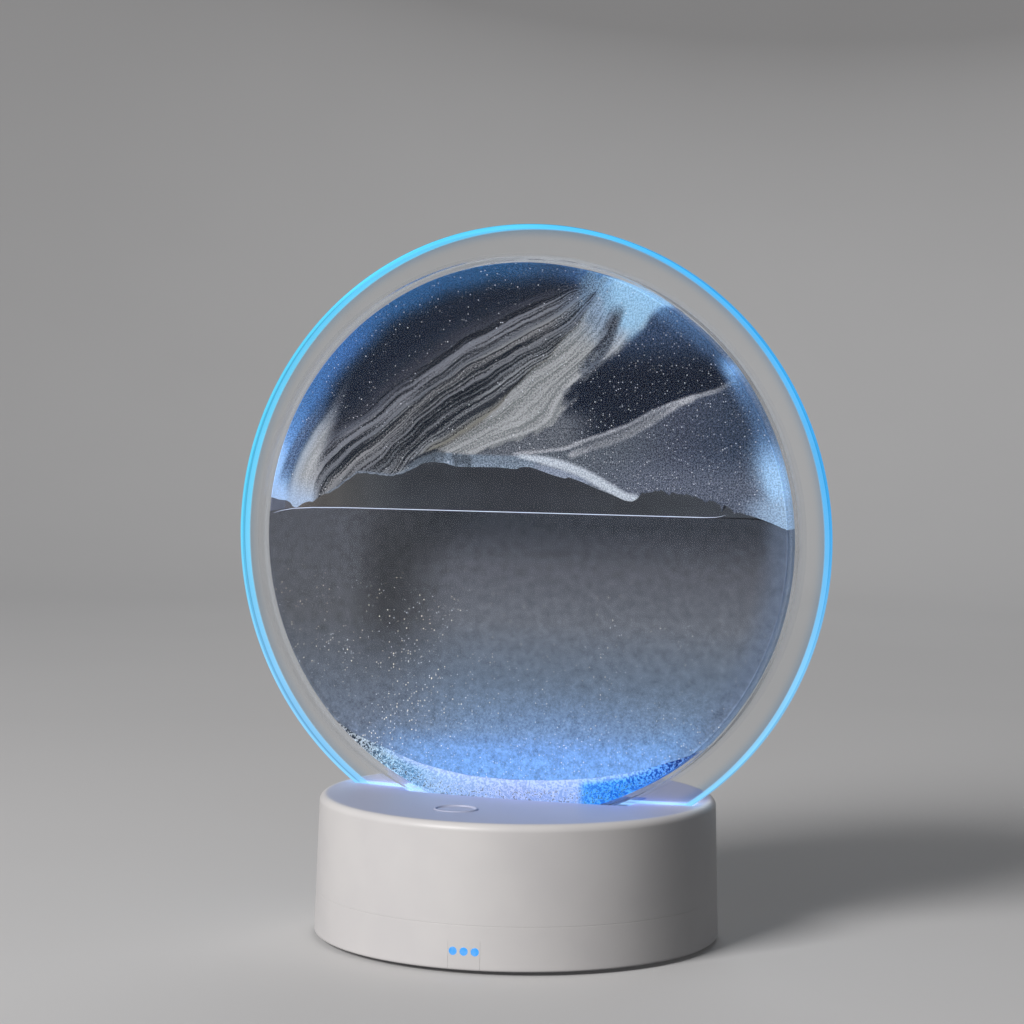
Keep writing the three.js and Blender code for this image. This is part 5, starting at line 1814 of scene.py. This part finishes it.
        # Painted light: a pale lit line along the bed's crest.
        wash.lay(crest * 0.75, Look.LIT_BED_CREST)
        ends = np.maximum(fade(-0.3, -0.5, u), fade(0.5, 0.62, u))
        pepper = np.clip(fade(0.02, 0.05, depth) * 0.7 + ends * 0.5, 0, 0.9)
        # Painted light on the bed's side wall, in place of its shade.
        wash.look[:, PAINTED_GLOW] += 0.4 * fade(0.9965, 0.9985, wash.reach)
        wash.finish(piece, np.column_stack([u * 3, w, np.zeros(len(u))]), pepper)
        paint(piece, LayeredSand("settled_sand", grain=0.0007, flake=0.0012))
        return piece

    def pocket(self) -> Piece:
        """A thin sheet on the rear pane behind the air pocket, from the fluid up to the sand: painted shade of the
        dark that shows through, darkest in the middle and paler towards both ends.

        Returns:
            The new piece, about the origin.
        """
        count, rows = self.pocket_sheet_steps
        x = np.concatenate([[-0.9958], np.linspace(-0.9955, 0.984, count - 2), [0.985]])
        surface = self.level + across(self.surface, x)
        low = np.minimum(surface - 0.004, 0.5 * surface + 0.5 * across(self.lower_edge, x))
        high = np.maximum(across(self.lower_edge, x) + 0.06 * fade(0.99, 0.9, np.abs(x)), low)
        low[0], low[-1] = high[0], high[-1]
        lower = np.column_stack([x, low]) * self.radius
        upper = np.column_stack([x, high]) * self.radius
        piece = self.slab("pocket_shade_sheet", lower, upper, rows, self.half - 0.35, self.half - 0.05)
        # Painted shade: dark grey in the middle, paler towards both ends, most on the left.
        store(piece, tint=linear_grid(ramp(self.pocket_shade_tint, self.shares(piece)[:, 0])))
        paint(piece, PaintedPocket("painted_pocket_shade"))
        return piece

    def wall_light_strip(self) -> Piece:
        """Painted light on the cell's wall at the left end of the pocket: a thin curved strip of the same kind of
        sheet.

        Returns:
            The new piece, about the origin.
        """
        turn = np.radians(np.linspace(*self.wall_turn, 9))[:, None]
        near, far = self.radius * 0.9995, self.radius * 0.996
        front, back = -self.half + 0.05, self.half - 0.33
        corners = [(near, front), (near, back), (far, back), (far, front), (near, front)]
        reach, depth = np.array(corners).T
        sweep = np.broadcast_arrays(reach * np.cos(turn), depth, reach * np.sin(turn))
        piece = capped("wall_light_sheet", np.stack(sweep, -1))
        # Painted light: the plate's pale blue-grey light on the wall.
        tint = np.broadcast_to(linear_grid(np.array(self.wall_light_tint)), (len(piece.data.vertices), 3))
        store(piece, tint=tint)
        paint(piece, PaintedPocket("painted_wall_light"))
        return piece

    def meniscus(self) -> Piece:
        """A thin round bead along the fluid's front edge, curled up where it meets the sand: a tube on a path that
        glows as a painted glint.

        Returns:
            The new piece, about the origin.
        """
        path = np.array(self.bead)
        share = np.linspace(0, 1, 160)
        length = np.concatenate([[0], np.cumsum(np.hypot(*np.diff(path, axis=0).T))])
        line = np.column_stack([np.interp(share, length / length[-1], part) for part in path.T]) * self.radius
        ahead = np.gradient(line, axis=0)
        ahead /= np.linalg.norm(ahead, axis=1)[:, None]
        aside = np.column_stack([-ahead[:, 1], ahead[:, 0]])
        turn = np.linspace(0, FULL_TURN, 9)
        thick = (self.bead_radius * np.minimum(1, 14 * np.minimum(share, 1 - share)) ** 0.5)[:, None]
        x, z = line.T[..., None] + aside.T[..., None] * np.cos(turn) * thick
        piece = mesh_object("glint_bead", np.stack([x, -self.half + np.sin(turn) * thick, z], -1))
        # Painted highlight: the bead's glint line glows.
        paint(piece, Glow("painted_bead_glint", linear(186, 196, 218), linear(160, 178, 222), 0.3))
        return piece

    def clear(self, name: str, profile: Rows, side: int, finish: Finish) -> Piece:
        """One clear turned piece of the cell, which lets light through to its neighbours.

        Args:
            name: Name of the piece.
            profile: Points of (radius, depth behind the middle).
            side: 1 for the rear half, -1 for the front half.
            finish: Its finish.

        Returns:
            The new piece, about the origin.
        """
        piece = turned(name, [(radius, depth * side) for radius, depth in profile], self.steps, Turn.ACROSS)
        paint(piece, finish)
        piece.visible_shadow = False
        return piece

    def build(self) -> None:
        """Makes the cell and its contents, dresses them and moves them to the disc's centre."""
        resin = ThinClear("clear_wall_resin", linear(190, 204, 220), 0.045)
        pieces = [(self.sand(), "sand", ("sand_mass",)), (self.fluid(), "fluid", ("liquid",)),
                  (self.bed(), "bed_sand", ("sand_bed",)), (self.pocket(), "fluid", ()),
                  (self.wall_light_strip(), "fluid", ()), (self.meniscus(), "fluid", ())]
        for side, end in ((1, "rear"), (-1, "front")):
            pieces += [(self.clear(f"clear_wall_{end}", self.wall, side, resin), "clear_rim", (f"{end}_rim",)),
                       (self.clear(f"glass_{end}", self.pane, side, Glass()), "pane_glass", (f"{end}_pane",))]
        for piece, slot, nodes in pieces:
            moved(piece, 0, *DISC_CENTRE)
            place(piece, Body.DISC, slot, *nodes)
        gasket = ThinClear("clear_gasket", linear(190, 200, 212), 0.03)
        for name in ("rear_seal", "front_seal"):
            paint_node(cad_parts[name], gasket)
            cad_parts[name].visible_shadow = False


# The studio


@dataclass
class Studio:
    """A pale bowl of paper round the lamp, soft lights and the camera at the photograph's angle."""

    place: Triple = (276.24, -752.92, 165.83)
    ahead: Triple = (-0.34790549, 0.93678006, -0.03748185)
    up: Triple = (-0.01304931, 0.03513694, 0.99929731)
    right: Triple = (0.93743879, 0.34815014, 0.0)
    lens: float = 87.89
    roll: float = 0.01398
    target: Triple = (0.0, 0.0, 0.1)
    lights: tuple = (
        ("key", (-0.77, -1.85, 1.25), 0.9, 51.0, (1.0, 0.985, 0.985)),
        ("fill", (1.7, -0.6, 1.2), 1.6, 0.3, (0.93, 0.96, 1.0)),
        ("back", (-0.35, 1.9, 1.4), 1.2, 8.0, (0.97, 0.98, 1.0)),
    )
    sky: float = 0.1
    bowl: Rows = ((0, 0), (400, 0), (1500, 0), *arc((1500, 1000), 1000, -90, 0, 16), (2500, 2200))

    def camera(self) -> None:
        """Makes the camera from its axes, turned by its roll."""
        lens = bpy.data.cameras.new("photo_view")
        lens.lens = self.lens
        lens.clip_start = 0.02
        camera = bpy.data.objects.new("photo_view", lens)
        right, up, back = Vector(self.right), Vector(self.up), -Vector(self.ahead)
        cosine, sine = math.cos(self.roll), math.sin(self.roll)
        turn = Matrix((right * cosine + up * sine, up * cosine - right * sine, back)).transposed().to_4x4()
        camera.matrix_world = Matrix.Translation(Vector(self.place) * MM) @ turn
        bpy.context.scene.collection.objects.link(camera)
        bpy.context.scene.camera = camera

    def light(self, name: str, spot: Triple, size: float, power: float, hue: Colour) -> None:
        """Adds a square area light that faces the lamp and doesn't light through glass twice.

        Args:
            name: The light's name.
            spot: Its place in metres.
            size: Length of its sides in metres.
            power: Its power in watts.
            hue: Its colour.
        """
        lamp = bpy.data.lights.new(name, "AREA")
        lamp.size = size
        lamp.energy = power
        lamp.color = hue
        holder = bpy.data.objects.new(name, lamp)
        holder.location = spot
        aim = Vector(self.target) - Vector(spot)
        holder.rotation_euler = aim.to_track_quat("-Z", "Y").to_euler()
        holder.visible_transmission = False
        bpy.context.scene.collection.objects.link(holder)

    def backdrop(self) -> None:
        """The bowl: flat floor, a wide fillet and a wall, turned about the lamp."""
        bowl = turned("paper_bowl", self.bowl, 96, sharp=180)
        paint(bowl, Paper())
        bowl.visible_diffuse = False

    def build(self) -> None:
        """Sets up the camera, backdrop, lights and plain view transform."""
        self.camera()
        self.backdrop()
        world = bpy.data.worlds.new("soft_room")
        world.use_nodes = True
        sky = world.node_tree.nodes["Background"]
        sky.inputs["Color"].default_value = (0.93, 0.95, 1.0, 1.0)
        sky.inputs["Strength"].default_value = self.sky
        bpy.context.scene.world = world
        bpy.context.scene.view_settings.view_transform = "Standard"
        for light in self.lights:
            self.light(*light)


def main() -> None:
    """Builds the lamp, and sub-assembly by sub-assembly."""
    logging.basicConfig(level=logging.INFO, format="%(name)s: %(message)s")
    for part in (Studio(), Base(), Plate(), Disc()):
        LOG.info("building %s", type(part).__name__)
        part.build()


if __name__ == "__main__":
    main()
